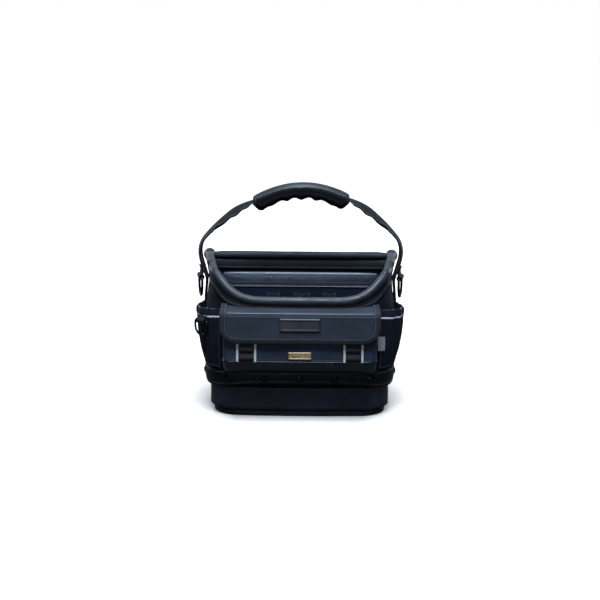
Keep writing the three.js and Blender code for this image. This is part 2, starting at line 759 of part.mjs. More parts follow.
// A point at a station, drawn in from the flap's outline and lifted off its underside.
function bindingPoint({ side, length, angle, share }, by, lift) {
  const radius = FLAP_CORNER - by;
  const flat = FLAP_WIDTH / 2 - FLAP_CORNER;
  if (share !== undefined) return flapPoint(share * flat, FLAP_LENGTH - by, lift);
  if (angle === undefined) return flapPoint(side * (FLAP_WIDTH / 2 - by), length, lift);
  const x = flat + radius * Math.cos(radians(angle));
  return flapPoint(side * x, FLAP_LENGTH - FLAP_CORNER + radius * Math.sin(radians(angle)), lift);
}
const BINDING_LAST = BINDING_STATIONS.length - 1;
piece(
  "flap_binding",
  sheet(
    (u, v, w) => {
      const station = BINDING_STATIONS[Math.round(v * BINDING_LAST)];
      return bindingPoint(station, u * BINDING_WIDTH, FLAP_WALL + SEAT + w * BINDING_WALL);
    },
    1,
    BINDING_LAST,
  ),
  "webbing",
);

// Bare label patch on the flap, with a raised border left to its finish

const LABEL_START = flapTopLength + FOLD_LENGTH + LABEL_DROP;
piece(
  "label_patch",
  sheet(
    (u, v, w) => {
      const lift = FLAP_WALL + SEAT + w * LABEL_WALL;
      return flapPoint((u - 0.5) * LABEL_WIDTH, LABEL_START + v * LABEL_HEIGHT, lift);
    },
    4,
    1,
  ),
  "rubber",
);

// Trim on the pocket's front: a metal tag, two runs of webbing and the bright strips beside them

const POCKET_KNEE = mix(POCKET_LOW, POCKET_TOP, POCKET_SECTIONS[3].rise);
const onPocket = (x, z, lift) => place(x, pocketFront(x, z) - CLEARANCE - lift, z);
piece(
  "metal_tag",
  sheet(
    (u, v, w) => onPocket((u - 0.5) * TAG_WIDTH, TAG_LOW + v * TAG_HEIGHT, SEAT + w * TAG_WALL),
    4,
    1,
  ),
  "brass",
);
const WEB_LOOPS = 2;
const WEB_LOOP_HEIGHT = 14;
const WEB_STEPS_PER_LOOP = 6;
for (const { name, sign } of SIDES) {
  const middle = (sign * WEB_SPREAD) / 2;
  const rows = [WEB_LOW];
  for (let i = 1; i <= WEB_LOOPS * WEB_STEPS_PER_LOOP; i += 1)
    rows.push(WEB_LOW + (i / WEB_STEPS_PER_LOOP) * WEB_LOOP_HEIGHT);
  rows.push(POCKET_KNEE, WEB_TOP);
  const bulge = (z) =>
    z < WEB_LOW + WEB_LOOPS * WEB_LOOP_HEIGHT
      ? WEB_BULGE * Math.sin((Math.PI * (z - WEB_LOW)) / WEB_LOOP_HEIGHT) ** 2
      : 0;
  piece(
    "web_chain_" + name,
    sheet(
      (u, v, w) => {
        const z = rows[Math.round(v * (rows.length - 1))];
        const lift = bulge(z) + SEAT * 0.4 + w * WEB_WALL;
        return onPocket(middle + (u - 0.5) * WEB_WIDTH, z, lift);
      },
      2,
      rows.length - 1,
    ),
    "webbing",
  );
  for (const edge of [-1, 1]) {
    const at = middle + edge * (WEB_WIDTH / 2 + REFLECTOR_STEP);
    const label = edge * sign < 0 ? "inner" : "outer";
    piece(
      `reflector_${name}_${label}`,
      sheet(
        (u, v, w) => {
          const z = [WEB_LOW, POCKET_KNEE, WEB_TOP][Math.round(v * 2)];
          return onPocket(at + (u - 0.5) * REFLECTOR_WIDTH, z, SEAT * 0.4 + w * REFLECTOR_WALL);
        },
        1,
        2,
      ),
      "reflector",
    );
  }
}

// Side pockets round the front corners, with an open mouth

const SIDE_POCKET_FROM = 1.33;
const SIDE_POCKET_TO = (() => {
  const plan = bodyPlanAt(2);
  const back = -STRAP_WIDTH / 2 - SIDE_POCKET_SIDE_GAP;
  return 2 + (back + plan.deep - plan.front) / (2 * plan.deep - plan.front - plan.back);
})();
// A point on a side pocket: u from its front edge to its back one, lifted off its outside.
function sidePocketPoint(sign, u, z, lift) {
  const rise = (z - SIDE_POCKET_LOW) / (SIDE_POCKET_TOP - SIDE_POCKET_LOW);
  const reach = SIDE_POCKET_REACH * lookUp(SIDE_POCKET_SECTIONS, "rise", rise, "reach");
  const swell = Math.sin(Math.PI * clamped(u)) ** 0.7;
  const turn = sign * mix(SIDE_POCKET_FROM, SIDE_POCKET_TO, u);
  const out = SEAT + SIDE_POCKET_WALL + Math.max(0, reach - SIDE_POCKET_WALL) * swell + lift;
  return bodyPoint(turn, z + SIDE_POCKET_FRONT_LIFT * (1 - clamped(u)) ** 2 * clamped(rise), out);
}
const SIDE_POCKET_STEPS = 12;
const SIDE_ROWS = SIDE_POCKET_SECTIONS.length - 1;
for (const { name, sign } of SIDES) {
  piece(
    "side_pocket_" + name,
    sheet(
      (u, v, w) => {
        const { rise } = SIDE_POCKET_SECTIONS[Math.round(v * SIDE_ROWS)];
        const z = mix(SIDE_POCKET_LOW, SIDE_POCKET_TOP, rise);
        return sidePocketPoint(sign, u, z, (w - 1) * SIDE_POCKET_WALL);
      },
      SIDE_POCKET_STEPS,
      SIDE_ROWS,
    ),
    "navy",
  );
  const cuffLow = SIDE_POCKET_TOP - CUFF_HEIGHT;
  piece(
    "pocket_cuff_" + name,
    sheet(
      (u, v, w) => sidePocketPoint(sign, u, mix(cuffLow, SIDE_POCKET_TOP, v), CLEARANCE + w * CUFF_WALL),
      SIDE_POCKET_STEPS,
      1,
    ),
    "navy",
  );
  const stripeTop = cuffLow - CLEARANCE;
  piece(
    "pocket_stripe_" + name,
    sheet(
      (u, v, w) =>
        sidePocketPoint(sign, u, mix(stripeTop - STRIPE_HEIGHT, stripeTop, v), CLEARANCE + w * STRIPE_WALL),
      SIDE_POCKET_STEPS,
      1,
    ),
    "reflector",
  );
}

// Small woven tag, bare, on the right pocket beside the front pocket

const WOVEN_TAG_FROM = -0.05;
const wovenTagSpan = (() => {
  const width = sidePocketPoint(1, 0, WOVEN_TAG_LOW, 0).distanceTo(sidePocketPoint(1, 1, WOVEN_TAG_LOW, 0));
  return WOVEN_TAG_WIDTH / width;
})();
piece(
  "woven_tag",
  sheet(
    (u, v, w) => {
      const z = mix(WOVEN_TAG_LOW, WOVEN_TAG_TOP, v);
      return sidePocketPoint(1, WOVEN_TAG_FROM + u * wovenTagSpan, z, SEAT + w * WOVEN_TAG_WALL);
    },
    3,
    3,
  ),
  "woven",
);

// Grip: a moulded handle with a smooth back and finger rests below

const GRIP_SIDES = 14;
const gripLean = Math.tan(radians(GRIP_LEAN));
const gripTopAt = (row, x) => GRIP_TOP - (GRIP_LENGTH / 2) * row.drop * 0.75 + x * gripLean;
const gripRing = (row, sign) => {
  const x = sign * (GRIP_LENGTH / 2) * row.out;
  const high = (GRIP_THICKNESS * row.thickness) / 2;
  const middle = gripTopAt(row, x) - high;
  return Array.from({ length: GRIP_SIDES }, (_, n) => {
    const turn = (2 * Math.PI * (n + 0.5)) / GRIP_SIDES;
    const [c, s] = [Math.cos(turn), Math.sin(turn)];
    const y = (GRIP_DEPTH / 2) * row.depth * Math.sign(c) * Math.abs(c) ** 0.8;
    return place(x, y, middle + high * Math.sign(s) * Math.abs(s) ** 0.8);
  });
};
const gripRows = GRIP_SECTIONS.slice(1);
piece(
  "handle_grip",
  ringBody([
    ...gripRows.toReversed().map((row) => gripRing(row, -1)),
    gripRing(GRIP_SECTIONS[0], 1),
    ...gripRows.map((row) => gripRing(row, 1)),
  ]),
  "rubber",
);

// Straps: up the sides from the band, out over the rim, and folded over into the grip

const STRAP_LOW = SKIRT_TOP + SEAT;
const STRAP_BODY_TOP = 220;
const strapSide = STRAP_BULGE_WIDTH / 2;
const gripEndRow = GRIP_SECTIONS.at(-1);
const STRAP_BODY_STEPS = 4;
const STRAP_FREE_STEPS = 24;
function strapRoute(sign) {
  const endX = GRIP_LENGTH / 2 + CLEARANCE;
  const endZ = gripTopAt(gripEndRow, sign * endX) - (GRIP_THICKNESS * gripEndRow.thickness) / 2;
  const onBody = [];
  for (let i = 0; i <= STRAP_BODY_STEPS; i += 1) {
    const z = mix(STRAP_LOW, STRAP_BODY_TOP, i / STRAP_BODY_STEPS);
    onBody.push(place(Math.abs(bodyPoint(2.5, z, SEAT + CLEARANCE + STRAP_WALL / 2).x), 0, z));
  }
  const free = STRAP_ROUTE.map(({ out, up }) =>
    place(mix(endX, strapSide, out), 0, mix(RIM_SIDE_HEIGHT - RIM_TUBE / 4, endZ, up)),
  );
  const curve = new THREE.CatmullRomCurve3([onBody.at(-1), ...free], false, "centripetal");
  return { onBody: onBody.slice(0, -1), free: curve.getSpacedPoints(STRAP_FREE_STEPS) };
}
for (const { name, sign } of SIDES) {
  const { onBody, free } = strapRoute(sign);
  const route = [...onBody, ...free];
  const last = route.length - 1;
  const normalAt = (i) => {
    const along = route[Math.min(last, i + 1)].clone().sub(route[Math.max(0, i - 1)]);
    if (i === last) along.set(-1, 0, 0);
    return place(along.z, 0, -along.x).normalize();
  };
  const strap = sheet(
    (u, v, w) => {
      const i = Math.round(v * last);
      const along = Math.max(0, i - onBody.length) / STRAP_FREE_STEPS;
      const fold = STRAP_FOLD * lookUp(STRAP_FOLDS, "along", along, "fold");
      const width = STRAP_WIDTH * lookUp(STRAP_FOLDS, "along", along, "width");
      const out = (w - 0.5) * STRAP_WALL - fold * (2 * u - 1) ** 2;
      const p = route[i].clone().addScaledVector(normalAt(i), out);
      return place(sign * p.x, (u - 0.5) * width, p.z);
    },
    4,
    last,
  );
  piece("handle_strap_" + name, strap, "webbing");
}

// Rings: a bar across the top, two arms and a round foot, hanging in a sewn web loop

const RING_SIDES = 6;
const RING_CORNER = 4;
// The path of a ring's wire round its bar's middle, in a plane of its own: across and down.
function ringPath(innerWidth, wire, drop) {
  const half = (innerWidth + wire) / 2;
  const arm = drop * 0.4;
  const outline = new THREE.Path();
  outline.moveTo(half - RING_CORNER, 0);
  outline.lineTo(0, 0);
  outline.lineTo(-(half - RING_CORNER), 0);
  outline.absarc(-(half - RING_CORNER), -RING_CORNER, RING_CORNER, Math.PI / 2, Math.PI, false);
  outline.lineTo(-half, -arm);
  outline.absellipse(0, -arm, half, drop - arm, Math.PI, 2 * Math.PI, false);
  outline.lineTo(half, -RING_CORNER);
  outline.absarc(half - RING_CORNER, -RING_CORNER, RING_CORNER, 0, Math.PI / 2, false);
  const points = outline.getPoints(3);
  return points.filter((p, i) => i === 0 || p.distanceTo(points[i - 1]) > 0.01).slice(0, -1);
}
function ringGeometry(innerWidth, wire, drop) {
  const path = ringPath(innerWidth, wire, drop).map((p) => place(0, p.x, p.y));
  return bar(path, path.map(() => wire / 2), RING_SIDES, place(1, 0, 0), true);
}
// A sleeve round the ring's bar: a short open tube along Y.
function sleeve(width, wire) {
  const bore = wire / 2 + RING_PLAY;
  const outer = bore + RING_LOOP_WALL;
  const half = width / 2;
  const profile = [
    [bore, -half],
    [outer, -half],
    [outer, half],
    [bore, half],
    [bore, -half],
  ].map(([r, h]) => new THREE.Vector2(r, h));
  return new THREE.LatheGeometry(profile, 12);
}
const sleeveOuter = (wire) => wire / 2 + RING_PLAY + RING_LOOP_WALL;

// The side rings stand a little turned, on loops sewn to the straps
for (const { name, sign } of SIDES) {
  const strapFace = (z) => {
    const { onBody, free } = strapRoute(sign);
    const route = [...onBody, ...free];
    const i = route.findIndex((p) => p.z > z);
    const t = (z - route[i - 1].z) / (route[i].z - route[i - 1].z);
    return mix(route[i - 1].x, route[i].x, t) + STRAP_WALL / 2;
  };
  const turn = -sign * radians(RING_TURN);
  const lean = (RING_LOOP_WIDTH / 2) * Math.sin(radians(RING_TURN));
  const outerRadius = sleeveOuter(RING_WIRE);
  const reach = strapFace(RING_BAR_HEIGHT + outerRadius) + outerRadius + lean;
  const sleevePiece = sleeve(RING_LOOP_WIDTH, RING_WIRE);
  sleevePiece.rotateZ(turn);
  sleevePiece.translate(sign * reach, 0, RING_BAR_HEIGHT);
  // The two layers of web from the strap down to the sleeve
  const topIn = strapFace(RING_LOOP_TOP) + SEAT;
  const lowZ = RING_BAR_HEIGHT + outerRadius - RING_LOOP_WALL * 0.6;
  const layers = sheet(
    (u, v, w) => {
      const y = (u - 0.5) * RING_LOOP_WIDTH * (1 - 0.02 * (1 - v));
      const lowIn = reach - RING_LOOP_WALL - Math.sin(radians(RING_TURN)) * y;
      const x = mix(lowIn, topIn, smooth(v)) + w * 2 * RING_LOOP_WALL;
      return place(sign * x, y * mix(Math.cos(turn), 1, v), mix(lowZ, RING_LOOP_TOP, v));
    },
    4,
    4,
  );
  piece("ring_loop_" + name, joined(sleevePiece, layers), "webbing");
  const ring = piece("d_ring_" + name, ringGeometry(RING_INNER_WIDTH, RING_WIRE, RING_DROP), "steel");
  ring.position.set(sign * reach, 0, RING_BAR_HEIGHT);
  ring.rotation.z = turn;
}

// A smaller ring hangs on the left pocket, under its bright stripe
const POCKET_RING_PLACE = 0.32;
{
  const outerRadius = sleeveOuter(POCKET_RING_WIRE);
  const barZ = POCKET_RING_BAR_HEIGHT;
  const face = sidePocketPoint(-1, POCKET_RING_PLACE, barZ + outerRadius, 0);
  const step = 0.02;
  const ahead = sidePocketPoint(-1, POCKET_RING_PLACE - step, barZ, 0);
  const behind = sidePocketPoint(-1, POCKET_RING_PLACE + step, barZ, 0);
  const along = ahead.sub(behind).setZ(0).normalize();
  const out = place(along.y, -along.x, 0);
  if (out.x > 0) out.negate();
  const turn = Math.atan2(-out.y, -out.x);
  const overCuff = CUFF_WALL + 2 * CLEARANCE;
  const centre = face.clone().addScaledVector(out, outerRadius + overCuff + CLEARANCE).setZ(barZ);
  const sleevePiece = sleeve(POCKET_RING_LOOP_WIDTH, POCKET_RING_WIRE);
  sleevePiece.rotateZ(turn);
  sleevePiece.translate(centre.x, centre.y, barZ);
  const lowZ = barZ + outerRadius - RING_LOOP_WALL * 0.6;
  const highZ = barZ + POCKET_RING_LOOP_RISE;
  const tab = sheet(
    (u, v, w) => {
      const depth = mix(-RING_LOOP_WALL, -outerRadius + CLEARANCE, smooth(v)) + w * 2 * RING_LOOP_WALL;
      const at = centre.clone().addScaledVector(along, (u - 0.5) * POCKET_RING_LOOP_WIDTH * 0.98);
      return at.addScaledVector(out, depth).setZ(mix(lowZ, highZ, v));
    },
    2,
    3,
  );
  piece("pocket_ring_loop", joined(sleevePiece, tab), "webbing");
  const ring = piece(
    "pocket_ring",
    ringGeometry(POCKET_RING_INNER_WIDTH, POCKET_RING_WIRE, POCKET_RING_DROP),
    "steel",
  );
  ring.position.copy(centre);
  ring.rotation.z = turn;
}

// Inside: a padded divider from side to side, and a tool panel on its front

const FLOOR = INNER_LOW + WALL + CLEARANCE;
const DIVIDER_ROWS = [
  { rise: 0, half: 0.85, thick: 0.9 },
  { rise: 0.14, half: 0.85, thick: 1 },
  { rise: 0.2, half: 0.96, thick: 1 },
  { rise: 0.8, half: 1, thick: 1 },
  { rise: 0.95, half: 1, thick: 0.95 },
  { rise: 0.985, half: 0.995, thick: 0.7 },
  { rise: 1, half: 0.98, thick: 0.3 },
];
const DIVIDER_STEPS = 12;
// The divider thins and rounds off at its two ends.
piece(
  "divider_panel",
  sheet(
    (u, v, w) => {
      const row = DIVIDER_ROWS[Math.round(v * (DIVIDER_ROWS.length - 1))];
      const x = Math.sin(((2 * u - 1) * Math.PI) / 2);
      const end = Math.max(0.35, (1 - x ** 12) ** 0.5);
      const y = DIVIDER_PLACE + (0.5 - w) * DIVIDER_THICKNESS * row.thick * end;
      return place(x * (DIVIDER_WIDTH / 2) * row.half, y, mix(FLOOR, DIVIDER_TOP, row.rise));
    },
    DIVIDER_STEPS,
    DIVIDER_ROWS.length - 1,
  ),
  "coated",
);

// The tool panel is a flat pocket: its ends turn back to the divider, and its top is bound
const panelFront = DIVIDER_PLACE - DIVIDER_THICKNESS / 2 - TOOL_PANEL_GAP;
const panelBack = DIVIDER_PLACE - DIVIDER_THICKNESS / 2 - SEAT;
function panelPoint(u, z, lift) {
  const half = TOOL_PANEL_WIDTH / 2 + lift;
  const radius = 8 + lift;
  const p = boxSection(u, half, panelBack, panelFront - lift, radius);
  return place(p.x, p.y, z);
}
const PANEL_STEPS = 20;
piece(
  "tool_panel",
  sheet(
    (u, v, w) => panelPoint(u, mix(FLOOR, TOOL_PANEL_TOP, v), (w - 1) * TOOL_PANEL_WALL),
    PANEL_STEPS,
    1,
  ),
  "nylon",
);
piece(
  "tool_panel_binding",
  sheet(
    (u, v, w) => {
      const z = mix(TOOL_PANEL_TOP - TOOL_BINDING_HEIGHT, TOOL_PANEL_TOP, v);
      return panelPoint(u, z, CLEARANCE + w * TOOL_BINDING_WALL);
    },
    PANEL_STEPS,
    1,
  ),
  "webbing",
);
const TOOL_LOOPS = [
  { name: "left", middle: -0.19, width: NARROW_LOOP },
  { name: "middle", middle: 0.01, width: WIDE_LOOP },
  { name: "right", middle: 0.205, width: NARROW_LOOP },
];
const TOOL_LOOP_STEPS = 12;
for (const { name, middle, width } of TOOL_LOOPS) {
  const x = middle * TOOL_PANEL_WIDTH;
  const half = width / 2;
  piece(
    "tool_loop_" + name,
    sheet(
      (u, v, w) => {
        const z = mix(TOOL_LOOP_LOW, TOOL_LOOP_TOP, v);
        const by = w * TOOL_LOOP_WALL;
        const turn = Math.PI * (1 - u);
        const rise = Math.sin(turn) ** 0.8 * (TOOL_LOOP_REACH - TOOL_LOOP_WALL) + by;
        const spread = u === 0 || u === 1 ? half + TOOL_LOOP_FOOT : half - TOOL_LOOP_WALL + by;
        const side = u === 0 ? -1 : u === 1 ? 1 : Math.cos(turn);
        return place(x + side * spread, panelFront - SEAT - rise, z);
      },
      TOOL_LOOP_STEPS,
      2,
    ),
    "webbing",
  );
}

export default tote;
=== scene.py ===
# %% [markdown]
# # Dressing an open top tool tote
#
# The solids of this tote are already in place: a moulded base, a soft body with a padded rim, pockets, a
# divider and a strap handle. This notebook puts the real surfaces on them: woven cloth with seams and
# stitches, a leather-like rim, moulded rubber and plated metal. Everything is in metres, with Z up and the
# front towards -Y.

import json
import math
from contextlib import contextmanager

import bmesh
import bpy
import numpy as np
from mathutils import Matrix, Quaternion, Vector

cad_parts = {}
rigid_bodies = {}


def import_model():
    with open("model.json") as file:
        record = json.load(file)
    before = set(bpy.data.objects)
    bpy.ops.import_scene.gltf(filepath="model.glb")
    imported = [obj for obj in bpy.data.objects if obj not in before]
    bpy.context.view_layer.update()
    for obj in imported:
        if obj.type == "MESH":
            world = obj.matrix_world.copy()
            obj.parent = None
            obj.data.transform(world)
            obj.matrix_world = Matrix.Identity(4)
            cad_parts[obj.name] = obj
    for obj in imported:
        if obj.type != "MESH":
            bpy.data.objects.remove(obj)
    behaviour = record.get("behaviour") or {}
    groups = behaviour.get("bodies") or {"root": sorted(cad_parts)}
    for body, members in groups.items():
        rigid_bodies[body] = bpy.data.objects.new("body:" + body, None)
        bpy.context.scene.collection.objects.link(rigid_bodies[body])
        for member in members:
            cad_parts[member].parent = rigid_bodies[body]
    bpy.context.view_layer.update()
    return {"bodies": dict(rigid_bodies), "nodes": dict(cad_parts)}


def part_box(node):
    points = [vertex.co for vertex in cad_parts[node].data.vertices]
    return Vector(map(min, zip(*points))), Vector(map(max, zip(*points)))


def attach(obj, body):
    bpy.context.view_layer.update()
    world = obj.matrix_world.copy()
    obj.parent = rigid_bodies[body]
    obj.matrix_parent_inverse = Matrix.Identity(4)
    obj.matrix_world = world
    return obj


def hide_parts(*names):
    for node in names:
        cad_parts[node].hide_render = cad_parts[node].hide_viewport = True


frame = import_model()
print("nodes:", len(frame["nodes"]))

# %% [markdown]
# ## The plan of the body
#
# A sewn body like this follows one plan: a rounded rectangle whose front corners are wide and whose back
# corners are tight. A number called the turn walks round it: 0 is the middle of the front, 1 to 2 the front
# corner, 2 to 3 the side, 3 to 4 the back corner and 5 the middle of the back. The left side has negative
# turns. One could trace a curve by hand instead, but with a rule every cloth piece, seam and stitch can be
# put exactly where the solids are.

# %% Small helpers for numbers
WALL = 0.003
FRONT_BOW = 0.003
BASE = {"width": 0.306, "depth": 0.214, "corner": 0.050, "top": 0.052, "wall": 0.004}
FOOT = {"width": 0.294, "depth": 0.202, "corner": 0.046, "height": 0.012}
BODY = {"width": 0.329, "depth": 0.221, "corner": 0.060, "back": 0.016}
RIM = {"width": 0.330, "depth": 0.216, "tube": 0.018, "back_tube": 0.017, "taper": 0.016}
RIM_HEIGHTS = {"side": 0.243, "back": 0.240, "front": 0.201}
RIM_CLIMB = {"from": 0.6, "to": 1.8, "ease": 1.6}
BODY_LOW = BASE["top"] + 0.0003
BAND_TOP = 0.081
SIDES = ((-1, "left"), (1, "right"))


def mix(a, b, t):
    return a + (b - a) * t


def smooth(t):
    t = np.clip(t, 0, 1)
    return t * t * (3 - 2 * t)


def rounded(x, xs, ys, window):
    """A line through the points, with its corners rounded off over a window."""
    steps = np.linspace(-window, window, 9)
    return np.mean([np.interp(x + s, xs, ys) for s in steps], axis=0)


def circle(count):
    """Angles spread evenly round a circle."""
    return np.linspace(0, 2 * np.pi, count, endpoint=False)


def stretched(*values):
    """Lists and single numbers as arrays of one shape."""
    return np.broadcast_arrays(*[np.asarray(value, float) for value in values])


def share_up(part, z):
    """How far up a part a height is, as a share."""
    return (z - part["low"]) / (part["top"] - part["low"])


def points_at(x, y, z):
    """Points from three coordinates, each a list or one number."""
    return np.stack(np.broadcast_arrays(x, y, z), -1)


def running(points, power=1.0):
    """The running length along a line of points, with each step raised to a power."""
    return np.append(0, np.cumsum(np.linalg.norm(np.diff(points, axis=0), axis=1) ** power))


def noise(x, y, seed, octaves=3):
    """A gentle repeatable roughness from a few sines, about -1 to 1."""
    rng = np.random.default_rng(seed)
    total = np.zeros(np.broadcast(x, y).shape)
    for octave in range(octaves):
        for _ in range(3):
            angle, phase = rng.uniform(0, 2 * np.pi, 2)
            pitch = 2.0**octave * rng.uniform(0.7, 1.3)
            total += np.sin(pitch * (x * np.cos(angle) + y * np.sin(angle)) + phase) / 2**octave / 3
    return total / 1.6


print("body", BODY["width"], "m wide")


# %% The plan, the rim's height and the wall between them
def plan_point(plan, turn, offset=0.0):
    """Points on a plan (half width, half depth, front and back corner, taper) and the way out from it."""
    half, deep, front, back, taper = plan
    t = np.abs(turn)
    near = half - taper
    a = np.clip(t - 1, 0, 1) * np.pi / 2
    b = np.clip(t - 3, 0, 1) * np.pi / 2
    stretch = [t <= 1, t <= 2, t <= 3, t <= 4]
    x = np.select(
        stretch,
        [
            t * (near - front),
            near - front + front * np.sin(a),
            mix(near, half, t - 2),
            half - back + back * np.cos(b),
        ],
        (5 - t) * (half - back),
    )
    y = np.select(
        stretch,
        [
            -deep - FRONT_BOW * (1 - t * t),
            front - deep - front * np.cos(a),
            mix(front - deep, deep - back, t - 2),
            deep - back + back * np.sin(b),
        ],
        deep,
    )
    out_x = np.select(stretch, [0 * t, np.sin(a), 1 + 0 * t, np.cos(b)], 0)
    out_y = np.select(stretch, [-1 + 0 * t, -np.cos(a), 0 * t, np.sin(b)], 1)
    side = np.where(turn < 0, -1.0, 1.0)
    return side * (x + out_x * offset), y + out_y * offset, side * out_x, out_y


RIM_PLAN = (
    RIM["width"] / 2, RIM["depth"] / 2, BODY["corner"] - WALL / 2, BODY["back"] - WALL / 2, RIM["taper"],
)


def rim_height(turn):
    along = np.clip((np.abs(turn) - RIM_CLIMB["from"]) / (RIM_CLIMB["to"] - RIM_CLIMB["from"]), 0, 1)
    climb = smooth(along ** RIM_CLIMB["ease"])
    dip = smooth(np.abs(turn) - 3) * (RIM_HEIGHTS["side"] - RIM_HEIGHTS["back"])
    return mix(RIM_HEIGHTS["front"], RIM_HEIGHTS["side"], climb) - dip


def wall_top(turn):
    a, b = turn - 0.02, turn + 0.02
    ax, ay, _, _ = plan_point(RIM_PLAN, a)
    bx, by, _, _ = plan_point(RIM_PLAN, b)
    slope = (rim_height(b) - rim_height(a)) / np.hypot(bx - ax, by - ay)
    return rim_height(turn) - RIM["tube"] / 2 * np.hypot(1, slope) - 0.0005


LEVELS = [0, 0.25, 1, 1.35, 1.7, 2]
SHARES = {
    "width": [0.945, 0.967, 0.97, 0.99, 1.004, 1.012],
    "depth": [0.955, 0.978, 0.98, 0.99, 0.995, 0.991],
    "corner": [0, 0.1, 0.3, 0.7, 0.95, 1],
    "taper": [0, 0, 0, 0.05, 0.3, 1],
}


def body_plan(level):
    share = {key: rounded(level, LEVELS, values, 0.05) for key, values in SHARES.items()}
    return (
        BODY["width"] / 2 * share["width"],
        BODY["depth"] / 2 * share["depth"],
        mix(BASE["corner"], BODY["corner"], share["corner"]),
        mix(BASE["corner"], BODY["back"], share["corner"]),
        RIM["taper"] * share["taper"],
    )


def body_point(turn, z, offset=0.0):
    """A point on the body's outside at a turn and a height, moved out by an offset."""
    turn, z, offset = stretched(turn, z, offset)
    low = np.clip((z - BODY_LOW) / (BAND_TOP - BODY_LOW), 0, 1)
    high = 1 + np.clip((z - BAND_TOP) / (wall_top(turn) - BAND_TOP), 0, 1)
    x, y, _, _ = plan_point(body_plan(np.where(z <= BAND_TOP, low, high)), turn, offset)
    return np.stack([x, y, z], -1)


def front_y(x, z):
    """How far forward the body's front stands at a height, a distance x from the middle."""
    x, z = stretched(x, z)
    turn = np.zeros(x.shape)
    for _ in range(8):
        level = 1 + np.clip((z - BAND_TOP) / (wall_top(turn) - BAND_TOP), 0, 1)
        half, deep, front, _, taper = body_plan(level)
        flat = half - taper - front
        along = np.clip((np.abs(x) - flat) / front, 0, 1)
        turn = np.where(np.abs(x) <= flat, np.abs(x) / flat, 1 + np.arcsin(along) * 2 / np.pi)
    straight = -deep - FRONT_BOW * (1 - np.clip(np.abs(x) / flat, 0, 1) ** 2)
    return np.where(np.abs(x) <= flat, straight, front - deep - front * np.sqrt(1 - along**2))


print("rim runs from", RIM_HEIGHTS["front"], "to", RIM_HEIGHTS["side"])

# %% [markdown]
# ## Cloth pieces as grids
#
# Cloth is cut flat and sewn, so each piece is a grid of points with a map of its own in metres. The map
# carries the weave, which then keeps its real size on every piece. A Solidify modifier gives the cloth its
# thickness, and one level of subdivision rounds its edges. Sculpting would give softer folds, but wouldn't
# follow the sizes.


# %% Grid meshes with a map in metres
def lengths(points):
    """The running length along the middle of a grid, across and down."""
    return running(points[len(points) // 2]), running(points[:, points.shape[1] // 2])


def new_object(name, mesh):
    piece = bpy.data.objects.new(name, mesh)
    bpy.context.scene.collection.objects.link(piece)
    return piece


def grid(name, points, loop=False, tube=False, capped=False):
    """A mesh through rows of points. A loop joins each row's ends, a tube the first row and the last."""
    points = np.asarray(points, float)
    rows, columns = points.shape[:2]
    closed = points
    if loop:
        closed = np.concatenate([closed, closed[:, :1]], 1)
    if tube:
        closed = np.concatenate([closed, closed[:1]], 0)
    across, down = lengths(closed)
    faces, maps = [], []
    for r in range(closed.shape[0] - 1):
        for c in range(closed.shape[1] - 1):
            s, d = (c + 1) % columns, (r + 1) % rows
            faces.append((r * columns + c, r * columns + s, d * columns + s, d * columns + c))
            u0, u1, v0, v1 = across[c], across[c + 1], down[r], down[r + 1]
            maps.append([(u0, v0), (u1, v0), (u1, v1), (u0, v1)])
    vertices = list(map(tuple, points.reshape(-1, 3)))
    if capped:
        for row, order in ((0, -1), (rows - 1, 1)):
            vertices.append(tuple(points[row].mean(0)))
            centre = len(vertices) - 1
            for c in range(columns):
                a, b = row * columns + c, row * columns + (c + 1) % columns
                faces.append((centre, a, b)[::order])
                maps.append([tuple(vertices[i][:2]) for i in faces[-1]])
    mesh = bpy.data.meshes.new(name)
    mesh.from_pydata(vertices, [], faces)
    layer = mesh.uv_layers.new(name="cloth")
    layer.data.foreach_set("uv", np.array([p for face in maps for p in face], np.float32).ravel())
    shade_smooth(mesh)
    return new_object(name, mesh)


@contextmanager
def edited(piece):
    """A piece's mesh to edit, written back to it at the end."""
    bm = bmesh.new()
    bm.from_mesh(piece.data)
    yield bm
    bm.to_mesh(piece.data)
    bm.free()


def face_out(piece, away=None):
    """Turns every face outwards: away from a point for a sheet, or by its volume for a closed piece."""
    with edited(piece) as bm:
        if away is None:
            bmesh.ops.recalc_face_normals(bm, faces=bm.faces)
            outward = bm.calc_volume(signed=True)
        else:
            heart = Vector(away)
            outward = sum((f.calc_center_median() - heart).dot(f.normal) * f.calc_area() for f in bm.faces)
        if outward < 0:
            bmesh.ops.reverse_faces(bm, faces=bm.faces)
    return piece


def thicken(piece, wall, level=1, side=-1):
    """Gives a sheet its thickness, and rounds its edges."""
    solid = piece.modifiers.new("cloth thickness", "SOLIDIFY")
    solid.thickness, solid.offset, solid.use_even_offset = wall, side, False
    if level:
        soften(piece, level)
    return piece


def soften(piece, level=1):
    round_off = piece.modifiers.new("round edges", "SUBSURF")
    round_off.levels = round_off.render_levels = level
    return piece


def cloth_sheet(name, rows, heart, wall):
    """A sheet through rows of points that faces away from a point, with its thickness."""
    return thicken(face_out(grid(name, rows), heart), wall)


def closed_trim(name, rows):
    """A strip that runs all round and closes on itself both ways, with its edges rounded."""
    return soften(face_out(grid(name, rows, loop=True, tube=True)))


def shade_smooth(mesh):
    mesh.polygons.foreach_set("use_smooth", [True] * len(mesh.polygons))


def fill_holes(bm):
    bmesh.ops.holes_fill(bm, edges=[e for e in bm.edges if e.is_boundary], sides=0)


def applied(piece, name):
    """Applies what is on a piece and returns the plain result in its place."""
    graph = bpy.context.evaluated_depsgraph_get()
    mesh = bpy.data.meshes.new_from_object(piece.evaluated_get(graph), depsgraph=graph)
    bpy.data.objects.remove(piece)
    mesh.name = name
    return new_object(name, mesh)


